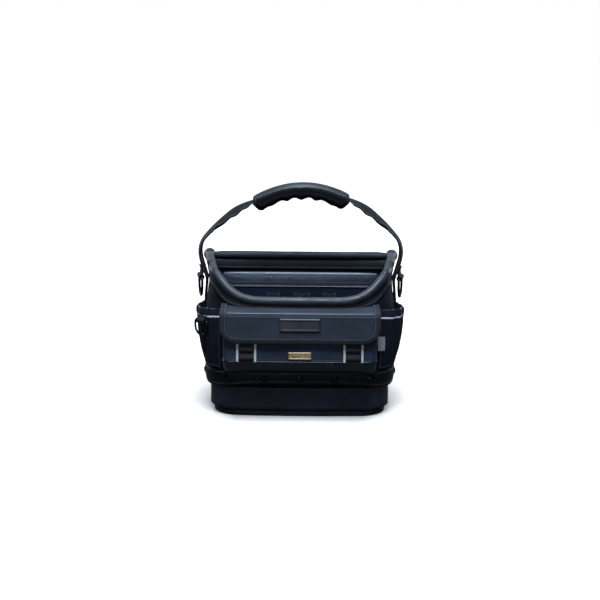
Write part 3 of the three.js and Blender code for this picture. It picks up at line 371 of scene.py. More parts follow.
def done(piece, body, slot, material, *nodes):
    """Gives a finished piece its material, and sets it on its body in place of its solids."""
    if material is not None:
        piece.data.materials.clear()
        piece.data.materials.append(material)
    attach(piece, body)
    if nodes:
        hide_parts(*nodes)
    return piece


def done_in_two(piece, slot, first, second, is_second, node):
    """Like done(), with a second material on the faces that a rule picks."""
    piece.data.materials.append(first)
    piece.data.materials.append(second)
    for face in piece.data.polygons:
        face.material_index = int(is_second(face))
    return done(piece, "tote", slot, None, node)


print("helpers ready")

# %% [markdown]
# ## Materials
#
# Only the thread is a flat colour. Ballistic nylon is a plain weave of thick yarn pairs, so its height map
# crosses two sets of rounded threads in a checkerboard, read from each piece's map in metres. Coated cloth,
# leather and rubber get a grain from small cells, webbing gets its ribs, and metal gets fine scratches.
# The cloth, coated cloth, leather, rubber and metal also vary a little in colour over a few centimetres, as
# handled things do.


# %% Node helpers
def material(name, colour, roughness, **principled):
    made_material = bpy.data.materials.new(name)
    made_material.use_nodes = True
    nodes = made_material.node_tree.nodes
    shader = nodes["Principled BSDF"]
    shader.inputs["Base Color"].default_value = (*colour, 1)
    shader.inputs["Roughness"].default_value = roughness
    for key, value in principled.items():
        shader.inputs[key.replace("_", " ")].default_value = value
    return made_material


# A colour mix has its two colours on these inputs and the mixed one on this output.
COLOUR_A, COLOUR_B, COLOUR_OUT = 6, 7, 2


class Wiring:
    """Short words for a material's nodes."""

    def __init__(self, owner):
        self.tree = owner.node_tree
        self.shader = self.tree.nodes["Principled BSDF"]

    def node(self, kind, **settings):
        made_node = self.tree.nodes.new(kind)
        for key, value in settings.items():
            setattr(made_node, key, value)
        return made_node

    def link(self, a, b):
        self.tree.links.new(a, b)

    def sum(self, operation, a, b=None, clamp=False):
        made_node = self.node("ShaderNodeMath", operation=operation, use_clamp=clamp)
        for socket, value in zip(made_node.inputs, (a, b)):
            if value is None:
                continue
            if isinstance(value, (int, float)):
                socket.default_value = value
            else:
                self.link(value, socket)
        return made_node.outputs[0]

    def place(self, mapped, scale):
        coordinates = self.node("ShaderNodeTexCoord")
        scaled = self.node("ShaderNodeMapping")
        scaled.inputs["Scale"].default_value = (scale, scale, scale)
        self.link(coordinates.outputs["UV" if mapped else "Object"], scaled.inputs["Vector"])
        return scaled.outputs[0]

    def cloud(self, scale, detail=3.0, low=0.4, high=0.6):
        """A soft noise from 0 to 1 in the object's own space."""
        made_node = self.node("ShaderNodeTexNoise")
        made_node.inputs["Scale"].default_value = scale
        made_node.inputs["Detail"].default_value = detail
        self.link(self.place(False, 1.0), made_node.inputs["Vector"])
        spread = self.node("ShaderNodeMapRange")
        spread.inputs["From Min"].default_value, spread.inputs["From Max"].default_value = low, high
        self.link(made_node.outputs["Fac"], spread.inputs["Value"])
        return spread.outputs[0]

    def tint(self, factor, dark, light):
        ramp = self.node("ShaderNodeMix", data_type="RGBA")
        ramp.inputs[COLOUR_A].default_value, ramp.inputs[COLOUR_B].default_value = (*dark, 1), (*light, 1)
        self.link(factor, ramp.inputs[0])
        return ramp.outputs[COLOUR_OUT]

    def split(self, mapped, scale):
        """The coordinates of each point, one by one."""
        parts = self.node("ShaderNodeSeparateXYZ")
        self.link(self.place(mapped, scale), parts.inputs[0])
        return parts.outputs

    def humps(self, value):
        """A row of rounded humps, one for each unit."""
        return self.sum("ABSOLUTE", self.sum("SINE", self.sum("MULTIPLY", value, math.pi)))

    def cells(self, size, **settings):
        """The way to the middle of the nearest of many small cells."""
        made_node = self.node("ShaderNodeTexVoronoi", **settings)
        made_node.inputs["Scale"].default_value = 1 / size
        self.link(self.place(False, 1.0), made_node.inputs["Vector"])
        return made_node.outputs["Distance"]

    def paint(self, colour):
        self.link(colour, self.shader.inputs["Base Color"])

    def roughen(self, factor, low, high):
        """Lets the roughness run from low to high."""
        rough = self.node("ShaderNodeMapRange")
        rough.inputs["To Min"].default_value, rough.inputs["To Max"].default_value = low, high
        self.link(factor, rough.inputs["Value"])
        self.link(rough.outputs[0], self.shader.inputs["Roughness"])

    def relief(self, height, distance, strength=1.0, under=None):
        bump = self.node("ShaderNodeBump")
        bump.inputs["Distance"].default_value = distance
        bump.inputs["Strength"].default_value = strength
        self.link(height, bump.inputs["Height"])
        if under is not None:
            self.link(under, bump.inputs["Normal"])
        self.link(bump.outputs[0], self.shader.inputs["Normal"])
        return bump.outputs[0]


def dimmer(colour, share):
    return tuple(c * share for c in colour)


print("node helpers ready")


# %% Woven cloth
def woven(name, colour, yarn, roughness=0.78, relief=0.0004, sheen=0.04, hollow_shade=0.7, shine=0.22):
    """Cloth of crossing yarns of a given width, in metres."""
    looks = {"Sheen_Weight": sheen, "Sheen_Roughness": 0.45, "Specular_IOR_Level": shine}
    cloth = material(name, colour, roughness, **looks)
    w = Wiring(cloth)
    u, v, _ = w.split(True, 1 / yarn)
    warp, weft = w.humps(u), w.humps(v)
    squares = w.sum("ADD", w.sum("FLOOR", u), w.sum("FLOOR", v))
    over = w.sum("MULTIPLY", w.sum("FRACT", w.sum("MULTIPLY", squares, 0.5)), 2.0)
    chosen = w.node("ShaderNodeMix")
    w.link(over, chosen.inputs[0])
    w.link(warp, chosen.inputs[2])
    w.link(weft, chosen.inputs[3])
    height = w.sum("POWER", chosen.outputs[0], 0.6)
    slub = w.cloud(900, 2, 0.3, 0.7)
    worn = w.cloud(22, 4)
    # The yarn tops are painted lighter and the hollows between them darker, as painted shade; the slubs add
    # the yarn's own uneven tone.
    shade = w.sum("ADD", w.sum("MULTIPLY", height, hollow_shade), w.sum("MULTIPLY", slub, 0.45), clamp=True)
    near = w.tint(shade, dimmer(colour, 0.45), dimmer(colour, 1.25))
    light = w.node("ShaderNodeMix", data_type="RGBA", blend_type="MULTIPLY")
    light.inputs[0].default_value = 1.0
    w.link(near, light.inputs[COLOUR_A])
    w.link(w.tint(worn, (0.8, 0.8, 0.82), (1.15, 1.15, 1.15)), light.inputs[COLOUR_B])
    w.paint(light.outputs[COLOUR_OUT])
    w.roughen(worn, roughness - 0.1, roughness + 0.08)
    broad = w.relief(w.cloud(60, 4, 0.3, 0.7), 0.0012, 0.5)
    w.relief(height, relief, 0.8, broad)
    return cloth


def ribbed(name, colour, rib, roughness=0.7):
    """Webbing: ribs that run along the strap, each a row of slanting stitches."""
    web = material(name, colour, roughness, Sheen_Weight=0.03, Specular_IOR_Level=0.2)
    w = Wiring(web)
    u, v, _ = w.split(True, 1 / rib)
    picks = w.humps(w.sum("ADD", w.sum("MULTIPLY", v, 1.4), w.sum("PINGPONG", u, 1.0)))
    thread = w.sum("ADD", w.sum("MULTIPLY", picks, 0.5), 0.5)
    height = w.sum("MULTIPLY", w.sum("POWER", w.humps(u), 0.5), thread)
    # The rib tops are painted lighter and the grooves between them darker, as painted shade.
    w.paint(w.tint(height, dimmer(colour, 0.4), dimmer(colour, 1.5)))
    w.relief(height, 0.0003, 0.9)
    return web


def grained(name, colour, grain, roughness, relief=0.00012, **principled):
    """Leather, coated cloth or moulded rubber: a fine cell grain and soft marks."""
    skin = material(name, colour, roughness, **principled)
    w = Wiring(skin)
    marks = w.cloud(35, 5, 0.35, 0.65)
    w.paint(w.tint(marks, dimmer(colour, 0.75), dimmer(colour, 1.3)))
    w.roughen(marks, roughness - 0.07, roughness + 0.1)
    broad = w.relief(w.cloud(90, 3, 0.3, 0.7), 0.0006, 0.35)
    w.relief(w.cells(grain, feature="SMOOTH_F1"), relief, 0.6, broad)
    return skin


print("cloth, webbing and grain ready")


# %% Metal, reflective tape and thread
def metal(name, colour, roughness, **principled):
    plate = material(name, colour, roughness, Metallic=1.0, **principled)
    w = Wiring(plate)
    scratches = w.cloud(700, 2, 0.35, 0.65)
    w.roughen(scratches, roughness - 0.05, roughness + 0.12)
    w.paint(w.tint(w.cloud(160, 3), dimmer(colour, 0.7), dimmer(colour, 1.2)))
    w.relief(scratches, 0.00004, 0.4)
    return plate


def beaded(name, colour, bead):
    """Reflective tape: tight glass beads under a clear film."""
    tape = material(name, colour, 0.4, Coat_Weight=0.3, Coat_Roughness=0.2)
    w = Wiring(tape)
    beads = w.cells(bead)
    w.paint(w.tint(beads, colour, dimmer(colour, 0.72)))
    w.relief(beads, 0.00008, 0.5)
    return tape


NYLON = woven("ballistic nylon", (0.017, 0.022, 0.033), 0.0021)
NAVY = woven("navy nylon", (0.022, 0.031, 0.058), 0.0013, roughness=0.7)
# The body's own nylon is painted far darker than the same nylon on the flap, as painted shade on the tote's
# sides.
SHADED_BODY_NYLON = woven("body nylon", (0.0030, 0.0042, 0.0085), 0.0021, roughness=0.8, sheen=0.02, shine=0.12)
# The side pockets' navy is painted far darker than the front pocket's, as painted shade on the tote's sides.
SHADED_SIDE_NYLON = woven(
    "side pocket nylon", (0.0045, 0.0068, 0.015), 0.0016, roughness=0.75, sheen=0.02, shine=0.14
)
LINING = woven(
    "lining cloth", (0.0020, 0.0027, 0.0050), 0.0007, roughness=0.85, relief=0.00012, sheen=0.01, shine=0.08
)
COATED = grained("coated cloth", (0.0025, 0.003, 0.0045), 0.0011, 0.42, Specular_IOR_Level=0.22)
# The divider's satin is painted far lighter than the coated cloth of the band: partly its own bluish tone,
# partly a painted highlight for its lit top.
PADDED_SATIN_HIGHLIGHT = grained(
    "padded satin cloth", (0.016, 0.023, 0.041), 0.0011, 0.34, relief=0.00006, Specular_IOR_Level=0.5
)
# The back roll is the same leather as the front roll, painted darker as painted shade.
SHADED_BACK_LEATHER = grained("back rim leather", (0.007, 0.0095, 0.0145), 0.0013, 0.54, Specular_IOR_Level=0.24)
LEATHER = grained("rim leather", (0.010, 0.013, 0.020), 0.0013, 0.50, Specular_IOR_Level=0.42)
RUBBER = grained("moulded base rubber", (0.018, 0.023, 0.039), 0.0009, 0.55, Specular_IOR_Level=0.35)
GRIP = grained("grip rubber", (0.009, 0.011, 0.016), 0.0007, 0.52, Specular_IOR_Level=0.35)
STRAP_WEB = ribbed("strap webbing", (0.0035, 0.0042, 0.006), 0.0024)
INNER_CLOTH = woven("inner nylon", (0.005, 0.010, 0.021), 0.0013, sheen=0.01, shine=0.12)
WEB = ribbed("black webbing", (0.006, 0.007, 0.0095), 0.0022)
TAPE_EDGE = ribbed("binding tape", (0.012, 0.014, 0.018), 0.0012)
# The cords are painted much lighter than the cloth round them: partly their own satin, partly a painted
# highlight along their ridge.
SATIN_CORD_HIGHLIGHT = grained("satin cord", (0.075, 0.092, 0.120), 0.0009, 0.35, relief=0.00004)
THREAD = material("dark thread", (0.050, 0.060, 0.080), 0.6, Sheen_Weight=0.3)
STEEL = metal("black plated steel", (0.022, 0.023, 0.027), 0.24)
BRASS = metal("satin brass", (0.62, 0.47, 0.28), 0.42)
BEADS = beaded("reflective tape", (0.66, 0.68, 0.72), 0.0006)
WOVEN_LABEL = woven(
    "woven label cloth", (0.30, 0.32, 0.34), 0.0005, roughness=0.8, relief=0.0001, hollow_shade=0.3
)
print("materials:", len(bpy.data.materials))

# %% [markdown]
# ## Stitches and rivets by Geometry Nodes
#
# Hundreds of stitches are one small shape repeated along a path, which is what Geometry Nodes are best at.
# The tree takes a curve, sets points along it at the stitch's pitch, lays a short rounded bar along the
# path at each and gives it the thread's material. Each seam is one spline, and one object holds all the
# seams of a body.


# %% The stitch tree
def tree_with(name, sizes):
    """An empty node tree with a geometry in and out, and named sizes."""
    tree = bpy.data.node_groups.new(name, "GeometryNodeTree")
    tree.interface.new_socket("Geometry", in_out="INPUT", socket_type="NodeSocketGeometry")
    for size, value in sizes.items():
        socket = tree.interface.new_socket(size, in_out="INPUT", socket_type="NodeSocketFloat")
        socket.default_value = value
    tree.interface.new_socket("Geometry", in_out="OUTPUT", socket_type="NodeSocketGeometry")
    return tree, tree.nodes.new("NodeGroupInput"), tree.nodes.new("NodeGroupOutput")


def set_on_points(tree, points, shape, way, axis, finish, output, size=None):
    """Sets a shape on each point, its axis turned the point's way, and gives all of them a material."""
    turned = tree.nodes.new("FunctionNodeAlignRotationToVector")
    turned.axis = axis
    tree.links.new(way, turned.inputs["Vector"])
    each = tree.nodes.new("GeometryNodeInstanceOnPoints")
    given = {"Points": points, "Instance": shape, "Rotation": turned.outputs[0], "Scale": size}
    for socket, value in given.items():
        if value is not None:
            tree.links.new(value, each.inputs[socket])
    result = each.outputs[0]
    for kind in ("RealizeInstances", "SetShadeSmooth", "SetMaterial"):
        step = tree.nodes.new("GeometryNode" + kind)
        tree.links.new(result, step.inputs[0])
        result = step.outputs[0]
    step.inputs["Material"].default_value = finish
    tree.links.new(result, output.inputs[0])


def stitch_tree():
    sizes = {"Pitch": 0.0032, "Length": 0.0024, "Thickness": 0.0007}
    tree, given, output = tree_with("stitches along a path", sizes)
    new, link = tree.nodes.new, tree.links.new
    spaced = new("GeometryNodeResampleCurve")
    spaced.mode = "LENGTH"
    link(given.outputs["Geometry"], spaced.inputs["Curve"])
    link(given.outputs["Pitch"], spaced.inputs["Length"])
    bead = new("GeometryNodeMeshUVSphere")
    bead.inputs["Segments"].default_value, bead.inputs["Rings"].default_value = 6, 4
    bead.inputs["Radius"].default_value = 0.5
    size = new("ShaderNodeCombineXYZ")
    link(given.outputs["Length"], size.inputs[0])
    link(given.outputs["Thickness"], size.inputs[1])
    link(given.outputs["Thickness"], size.inputs[2])
    shaped = new("GeometryNodeTransform")
    link(bead.outputs["Mesh"], shaped.inputs["Geometry"])
    link(size.outputs[0], shaped.inputs["Scale"])
    along = new("GeometryNodeInputTangent")
    set_on_points(tree, spaced.outputs[0], shaped.outputs[0], along.outputs[0], "X", THREAD, output)
    return tree


def grown(source, tree, name, **sizes):
    """Runs a tree on an object and returns its result as a plain mesh object."""
    modifier = source.modifiers.new("grow", "NODES")
    modifier.node_group = tree
    inputs = {s.name: s.identifier for s in tree.interface.items_tree if s.in_out == "INPUT"}
    for size, value in sizes.items():
        modifier[inputs[size]] = value
    return applied(source, name)


STITCHES = stitch_tree()
seams = {body: [] for body in frame["bodies"]}


def seam(points, body="tote"):
    """Notes a row of stitches through these points, to be sewn at the end."""
    seams[body].append(np.asarray(points, float))


def seam_round(points):
    """Notes a row of stitches that ends where it starts."""
    seam(np.concatenate([points, points[:1]]))


print("stitch tree nodes:", len(STITCHES.nodes))


# %% The tree that sets one shape on each point, facing the way that the point faces
def stud_tree(name, shape, finish):
    tree, given, output = tree_with(name, {"Size": 1.0})
    stud = tree.nodes.new("GeometryNodeObjectInfo")
    stud.inputs["Object"].default_value = shape
    way = tree.nodes.new("GeometryNodeInputNamedAttribute")
    way.data_type = "FLOAT_VECTOR"
    way.inputs["Name"].default_value = "out"
    points, size = given.outputs["Geometry"], given.outputs["Size"]
    stud_out = stud.outputs["Geometry"]
    set_on_points(tree, points, stud_out, way.outputs["Attribute"], "Z", finish, output, size)
    return tree


def points_facing(name, places, ways):
    mesh = bpy.data.meshes.new(name)
    mesh.from_pydata([tuple(p) for p in places], [], [])
    out = mesh.attributes.new("out", "FLOAT_VECTOR", "POINT")
    out.data.foreach_set("vector", np.ravel(ways).astype(np.float32))
    return new_object(name, mesh)


def turned_shape(name, profile, steps=24):
    """A round shape from a profile of (radius, height) points that starts and ends on the axis."""
    angles = circle(steps)
    rows = [[(r * np.cos(a), r * np.sin(a), h) for a in angles] for r, h in profile[1:-1]]
    piece = grid(name, rows, loop=True, capped=True)
    piece.data.vertices[len(rows) * steps].co.z = profile[0][1]
    piece.data.vertices[len(rows) * steps + 1].co.z = profile[-1][1]
    return face_out(piece)


print("stud tree ready")

# %% [markdown]
# ## Moulded base
#
# The base is a rubber tub: a foot set in under a tall plain band. It is drawn as one profile that walks
# round the plan, which is how such a mould is cut. The edges get small radii, and the band's upper lip
# rolls over a little.

# %% Turns all round the plan
TURN_STEPS = (22, 22, 12, 10, 14)
half_turns = np.concatenate([np.linspace(t, t + 1, n, endpoint=False) for t, n in enumerate(TURN_STEPS)])
ALL_TURNS = np.concatenate([half_turns, [5.0], -half_turns[:0:-1]])


def walk(profile, plan_of):
    """Rows of points all round: each profile step is (height, offset) on a plan."""
    rows = []
    for z, offset in profile:
        x, y, _, _ = plan_point(plan_of, ALL_TURNS, offset)
        rows.append(points_at(x, y, z))
    return rows


foot_plan = (FOOT["width"] / 2, FOOT["depth"] / 2, FOOT["corner"], FOOT["corner"], 0)
band_plan = (BASE["width"] / 2, BASE["depth"] / 2, BASE["corner"], BASE["corner"], 0)
foot_profile = [(0, -0.006), (0, -0.0022), (0.0006, -0.0007), (0.002, 0), (0.006, 0.0004), (0.0084, 0.0002)]
foot_rows = walk([*foot_profile, (0.0091, -0.0008)], foot_plan)
groove_rows = walk([(0.0094, -0.0034), (0.0121, -0.0036)], foot_plan)
band_profile = [
    (0.0123, -0.0070), (0.0126, -0.0015), (0.0140, 0), (0.020, 0.0002), (0.032, 0), (0.0478, 0),
    (0.0492, 0.0006), (0.0508, 0.0005), (0.0517, -0.0005), (0.052, -0.0018), (0.0518, -0.0033),
    (0.0500, -0.004), (0.016, -0.004),
]
band_rows = walk(band_profile, band_plan)
inside_rows = walk([(0.015, -0.004), (0.0045, -0.004), (0.004, -0.006)], foot_plan)
base_rows = foot_rows + groove_rows + band_rows + inside_rows
base = face_out(grid("moulded_base", base_rows, loop=True, capped=True))
done(base, "tote", "base_rubber", RUBBER, "base_tray")
print("moulded base:", len(base.data.polygons), "faces")

# %% [markdown]
# ## Soft body
#
# The body is one wall of ballistic nylon round the plan, with a lining inside. It is made as a closed
# shell: up the outside, over the top edge under the rim, and down the lining to the floor. Long shallow
# waves make it look sewn rather than moulded. They fade out at the rim and the base, where the seams hold
# the cloth.


# %% Body shell
def body_waves(turn, z):
    """How far the cloth swells in or out between its seams."""
    held = np.clip((z - BAND_TOP) / 0.02, 0, 1) * np.clip((wall_top(turn) - z) / 0.02, 0, 1)
    swells = 0.0008 * held * noise(turn * 5, z * 55, 11)
    return swells + 0.0007 * held * np.sin(z * 95 + 4 * np.sin(turn * 3.1))


def body_row(level, offset, swell=1.0):
    turn = ALL_TURNS
    z = mix(BODY_LOW, BAND_TOP, level) if level <= 1 else mix(BAND_TOP, wall_top(turn), level - 1)
    z = z + np.zeros_like(turn)
    return body_point(turn, z, offset + swell * body_waves(turn, z))


def liner_row(z, inset):
    x, y, _, _ = plan_point(band_plan, ALL_TURNS, -BASE["wall"] - 0.0005 - inset)
    return points_at(x, y, z)


levels = np.concatenate([np.linspace(0, 1, 7), np.linspace(1.05, 2, 26)])
OUTSIDE_LOW, INSIDE_LOW = (0.0163, 0.030, BODY_LOW), (0.050, 0.035, 0.0215, 0.0193)
outside = [liner_row(z, 0) for z in OUTSIDE_LOW] + [body_row(v, 0) for v in levels]
inside = [body_row(v, -WALL + 0.0003) for v in levels[::-1]] + [liner_row(z, WALL) for z in INSIDE_LOW]
shell = face_out(grid("soft_body", outside + inside, loop=True, capped=True))
first_inside = len(outside) * len(ALL_TURNS)
done_in_two(
    shell, "body_nylon", SHADED_BODY_NYLON, LINING, lambda face: min(face.vertices) >= first_inside, "body_shell"
)
print("soft body:", len(shell.data.polygons), "faces")

# %% [markdown]
# ## Band round the foot of the body
#
# A strip of smooth coated cloth covers the seam between the body and its base. Its top edge is turned in
# and sewn, and its lower edge is rolled over a cord, so it stands out as a welt with a shadow under it.
# Rivets hold it to the base.


# %% Band
def band_low(turn):
    t = np.minimum(np.abs(turn), 5 - np.abs(turn))
    return mix(0.060, 0.0505, smooth(t - 0.5))


BAND_IN, BAND_WALL = 0.0008, 0.0026


def band_row(share, offset):
    low = band_low(ALL_TURNS)
    z = mix(low, BAND_TOP, share)
    pucker = 0.0002 * noise(ALL_TURNS * 14, share * 3, 5) * np.sin(np.pi * np.clip(share, 0, 1))
    return body_point(ALL_TURNS, z, BAND_IN + offset + pucker)


band_outline = [
    (0.00, 0.0008), (0.00, 0.0020), (0.03, 0.0031), (0.08, 0.0036), (0.14, 0.0033), (0.19, 0.0024),
    (0.24, 0.0021), (0.4, 0.0025), (0.6, 0.0027), (0.78, 0.0025), (0.86, 0.0022), (0.89, 0.0019),
    (0.93, 0.0026), (0.985, 0.0026), (1.00, 0.0016), (1.00, 0.0002), (0.5, 0.0),
]
band = closed_trim("foot_band", [band_row(share, offset) for share, offset in band_outline])
done(band, "tote", "coated_fabric", COATED, "skirt_band")
for share, offset in ((0.21, 0.0024), (0.885, 0.0021)):
    seam_round(band_row(share, offset))
print("band:", len(band.data.polygons), "faces")

# %% Rivets through the band
RIVET_HEIGHT = 0.069
rivet_profile = [
    (0, 0), (0.0062, 0), (0.0063, 0.0007), (0.0056, 0.0012), (0.0047, 0.0013), (0.0042, 0.0019),
    (0.0030, 0.0025), (0.0014, 0.0027), (0, 0.00275),
]
rivet_shape = turned_shape("rivet shape", rivet_profile)
rivet_places, rivet_ways, rivet_nodes = [], [], []
for name in frame["nodes"]:
    if name.startswith("rivet_"):
        low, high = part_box(name)
        centre = (np.array(low) + np.array(high)) / 2
        rivet_nodes.append(name)
        if "front" in name or "back" in name:
            sign = -1 if "front" in name else 1
            fit = np.linspace(0, 1.6, 400) if sign < 0 else np.linspace(3.4, 5, 400)
            fit = fit * (1 if centre[0] >= 0 else -1)
        else:
            fit = np.linspace(2, 3, 400) * np.sign(centre[0])
        on_band = body_point(fit, RIVET_HEIGHT, BAND_IN + BAND_WALL)
        best = np.argmin(np.linalg.norm(on_band - centre, axis=1))
        _, _, way_x, way_y = plan_point(body_plan(np.array(0.6)), np.array(fit[best]))
        rivet_places.append(on_band[best])
        rivet_ways.append((float(way_x), float(way_y), 0))
rivet_points = points_facing("rivet points", rivet_places, rivet_ways)
rivets = grown(rivet_points, stud_tree("rivets", rivet_shape, STEEL), "rivets")
bpy.data.objects.remove(rivet_shape)
done(rivets, "tote", "dark_metal", None, *rivet_nodes)
print("rivets:", len(rivet_places))

# %% [markdown]
# ## Padded rim
#
# A thick roll of soft leather-like cloth finishes the mouth. The front roll climbs from the low front round
# the corners to the sides, and its ends stop at the back, where a second roll is sewn in between them. A
# filled roll never stays a clean tube, so each is blown up a little by a cloth simulation, and gets small
# folds where it bends.


# %% Rolls and their filling
FILL_FRAMES = 20


def resampled(points, count):
    """A line again with a number of evenly spaced points, and their running lengths."""
    run = running(points)
    even = np.linspace(0, run[-1], count)
    return np.stack([np.interp(even, run, points[:, k]) for k in range(3)], -1), even


def path_steps(points, spacing):
    """The path again, with points an even spacing apart."""
    points = np.asarray(points, float)
    return resampled(points, int(round(running(points)[-1] / spacing)) + 1)


def frames(path, up=(0, 0, 1)):
    """The way along a path, and two ways across it."""
    along = np.gradient(path, axis=0)
    along /= np.linalg.norm(along, axis=1, keepdims=True)
    side = np.cross(along, np.asarray(up, float))
    side /= np.linalg.norm(side, axis=1, keepdims=True)
    return along, side, np.cross(side, along)


def roll(name, path, radii, sides=28, ripple=None):
    """A closed tube round a path. The ripple gives each point's push by its ring and its angle."""
    _, side, over = frames(path)
    angles = circle(sides)
    push = 0 * angles if ripple is None else ripple(np.arange(len(path))[:, None], angles[None])
    reach = (np.asarray(radii, float)[:, None] + push)[..., None]
    ways = np.cos(angles)[:, None] * side[:, None] + np.sin(angles)[:, None] * over[:, None]
    rings = path[:, None] + reach * ways
    return face_out(grid(name, rings, loop=True, capped=True))


def thin_cord(name, line, radius, slot, look):
    """A thin sewn-in cord along a line."""
    path, _ = path_steps(line, 0.002)
    return done(roll(name, path, np.full(len(path), radius), sides=10), "tote", slot, look)


def filled(piece, voxel, cap, pressure=4.0):
    """Blows a closed piece up like a pad. No point moves further than the cap."""
    name = piece.name
    even = piece.modifiers.new("even mesh", "REMESH")
    even.mode, even.voxel_size, even.use_smooth_shade = "VOXEL", voxel, True
    piece = applied(piece, name)
    start = np.array([v.co for v in piece.data.vertices])
    cloth = piece.modifiers.new("filling", "CLOTH")
    cloth.settings.quality = 5
    cloth.settings.use_pressure = True
    cloth.settings.uniform_pressure_force = pressure
    cloth.settings.effector_weights.gravity = 0
    cloth.settings.tension_stiffness = cloth.settings.compression_stiffness = 12
    cloth.point_cache.frame_start, cloth.point_cache.frame_end = 1, FILL_FRAMES
    for step in range(1, FILL_FRAMES + 1):
        bpy.context.scene.frame_set(step)
    piece = applied(piece, name)
    bpy.context.scene.frame_set(1)
    moved = np.array([v.co for v in piece.data.vertices]) - start
    size = np.linalg.norm(moved, axis=1, keepdims=True)
    moved *= np.minimum(1, cap / np.maximum(size, 1e-9))
    piece.data.vertices.foreach_set("co", (start + moved).astype(np.float32).ravel())
    shade_smooth(piece.data)
    return soften(piece, 1)


RIM_STEP = 0.0022
rim_turns = np.linspace(-2.995, 2.995, 500)
rim_x, rim_y, _, _ = plan_point(RIM_PLAN, rim_turns)
rim_line = points_at(rim_x, rim_y, rim_height(rim_turns))
tube = RIM["tube"] / 2
end_y = RIM["depth"] / 2 - 0.1 * tube + 0.35 * tube
corner_ends = [np.array([[s * RIM["width"] / 2, end_y, RIM_HEIGHTS["side"]]]) for s in (-1, 1)]
rim_path, rim_run = path_steps(np.concatenate([corner_ends[0], rim_line, corner_ends[1]]), RIM_STEP)
to_end = np.minimum(rim_run, rim_run[-1] - rim_run)
rim_radii = (tube - 0.0006) * np.sqrt(np.clip(1 - (1 - np.clip(to_end / 0.006, 0, 1)) ** 2 * 0.65, 0.1, 1))
rim_radii += 0.0030 * np.exp(-(((to_end - 0.010) / 0.012) ** 2))
rim_radii -= 0.0013 * np.exp(-(((to_end - 0.024) / 0.0018) ** 2))
bend = np.exp(-(((np.abs(rim_path[:, 0]) - 0.140) / 0.020) ** 2)) * (rim_path[:, 1] < 0)


def rim_ripple(ring, angle):
    folds = 0.0007 * bend[ring] * np.sin(rim_run[ring] / 0.0075 + 2 * np.cos(angle)) * (1 - np.sin(angle)) / 2
    return folds + 0.0003 * noise(rim_run[ring] * 60, angle * 1.5, 21) - 0.0003


front_roll = filled(roll("front_rim_roll", rim_path, rim_radii, ripple=rim_ripple), 0.0024, 0.0007)
done(front_roll, "tote", "rim_leather", LEATHER, "rim_front_tube")
back_half = (RIM["width"] - RIM["tube"]) / 2 + 0.0035
back_ends = [(x, RIM["depth"] / 2, RIM_HEIGHTS["back"]) for x in (-back_half, back_half)]
back_path, back_run = path_steps(back_ends, RIM_STEP)
back_path[:, 2] += 0.0006 * noise(back_run * 25, 0 * back_run, 8) * np.sin(np.pi * back_run / back_run[-1])
back_end = np.minimum(back_run, back_run[-1] - back_run)
back_radii = RIM["back_tube"] / 2 - 0.0008 - 0.0014 * np.exp(-((back_end / 0.012) ** 2))


def back_ripple(ring, angle):
    return 0.0005 * noise(back_run[ring] * 45, angle * 1.2, 33)


back_roll = filled(roll("back_rim_roll", back_path, back_radii, ripple=back_ripple), 0.0024, 0.0006)
done(back_roll, "tote", "rim_leather", SHADED_BACK_LEATHER, "rim_back_tube")
print("front rim roll:", len(front_roll.data.polygons), "faces before its last smoothing")

# %% Welt under the rim
WELT = {"front": 0.0075, "side": 0.0145}


def welt_row(share, offset):
    """A row a share of the way down the welt, which is deeper at the sides than at the front."""
    depth = mix(WELT["front"], WELT["side"], smooth((np.abs(ALL_TURNS) - 1.0) / 0.4))
    return body_point(ALL_TURNS, wall_top(ALL_TURNS) + 0.0035 - share * depth, offset)


welt_outline = [
    (0.0, 0.0009), (0.0, 0.0019), (0.40, 0.0024), (0.62, 0.0021), (0.70, 0.0015), (0.78, 0.0022),
    (0.94, 0.0021), (1.0, 0.0014), (1.0, 0.0005),
]
welt = closed_trim("rim_welt", [welt_row(share, offset) for share, offset in welt_outline])
done(welt, "tote", "rim_leather", LEATHER)


def facing_row(drop, inset):
    top = wall_top(ALL_TURNS) + 0.0030
    return body_point(ALL_TURNS, top - drop, -WALL - inset)


facing_outline = [
    (0.0, 0.0), (0.0, 0.0014), (0.006, 0.0024), (0.0125, 0.0018), (0.0145, 0.0011), (0.0160, 0.0017),
    (0.0180, 0.0014), (0.0184, 0.0002),
]
facing = closed_trim("rim_inner_facing", [facing_row(drop, inset) for drop, inset in facing_outline])
done(facing, "tote", "rim_leather", LEATHER)
seam_round(facing_row(0.0146, 0.0013))
seam_round(welt_row(0.70, 0.0017))
print("welt:", len(welt.data.polygons), "faces")

# %% [markdown]
# ## Front pocket
#
# The pocket is a full-width box of navy nylon. A smooth gusset forms its underside: it slopes out from the
# band and stops at a corded seam. The front sags a little between its seams, and that sag is one function,
# so the webbing, the bright strips and the tag all follow it.

# %% Shape of the pocket
POCKET = {"width": 0.254, "low": 0.084, "top": 0.188, "reach": 0.047, "corner": 0.012, "bow": 0.002}
POCKET_SEAM = 0.1105
POCKET_RISES = [0, 0.06, 0.24, 0.65, 1]
POCKET_REACHES = [0.085, 0.72, 1, 1, 0.9]
POCKET_WIDTHS = [0.95, 0.97, 1, 1, 0.99]
middle_y = float(front_y(np.array(0.0), np.array(POCKET["top"])))


def pocket_y(x, z):
    """How far forward the pocket's front stands, with its sag."""
    rise = share_up(POCKET, z)
    reach = POCKET["reach"] * rounded(rise, POCKET_RISES, POCKET_REACHES, 0.025)
    held = np.clip((z - POCKET_SEAM) / 0.02, 0, 1)
    sag = -0.0007 * held * (1 + noise(x * 38, z * 30, 17)) - 0.0006 * held * np.sin(x * 62 + 1.2) ** 2
    return middle_y - reach - POCKET["bow"] * (1 - (2 * x / POCKET["width"]) ** 2) - sag


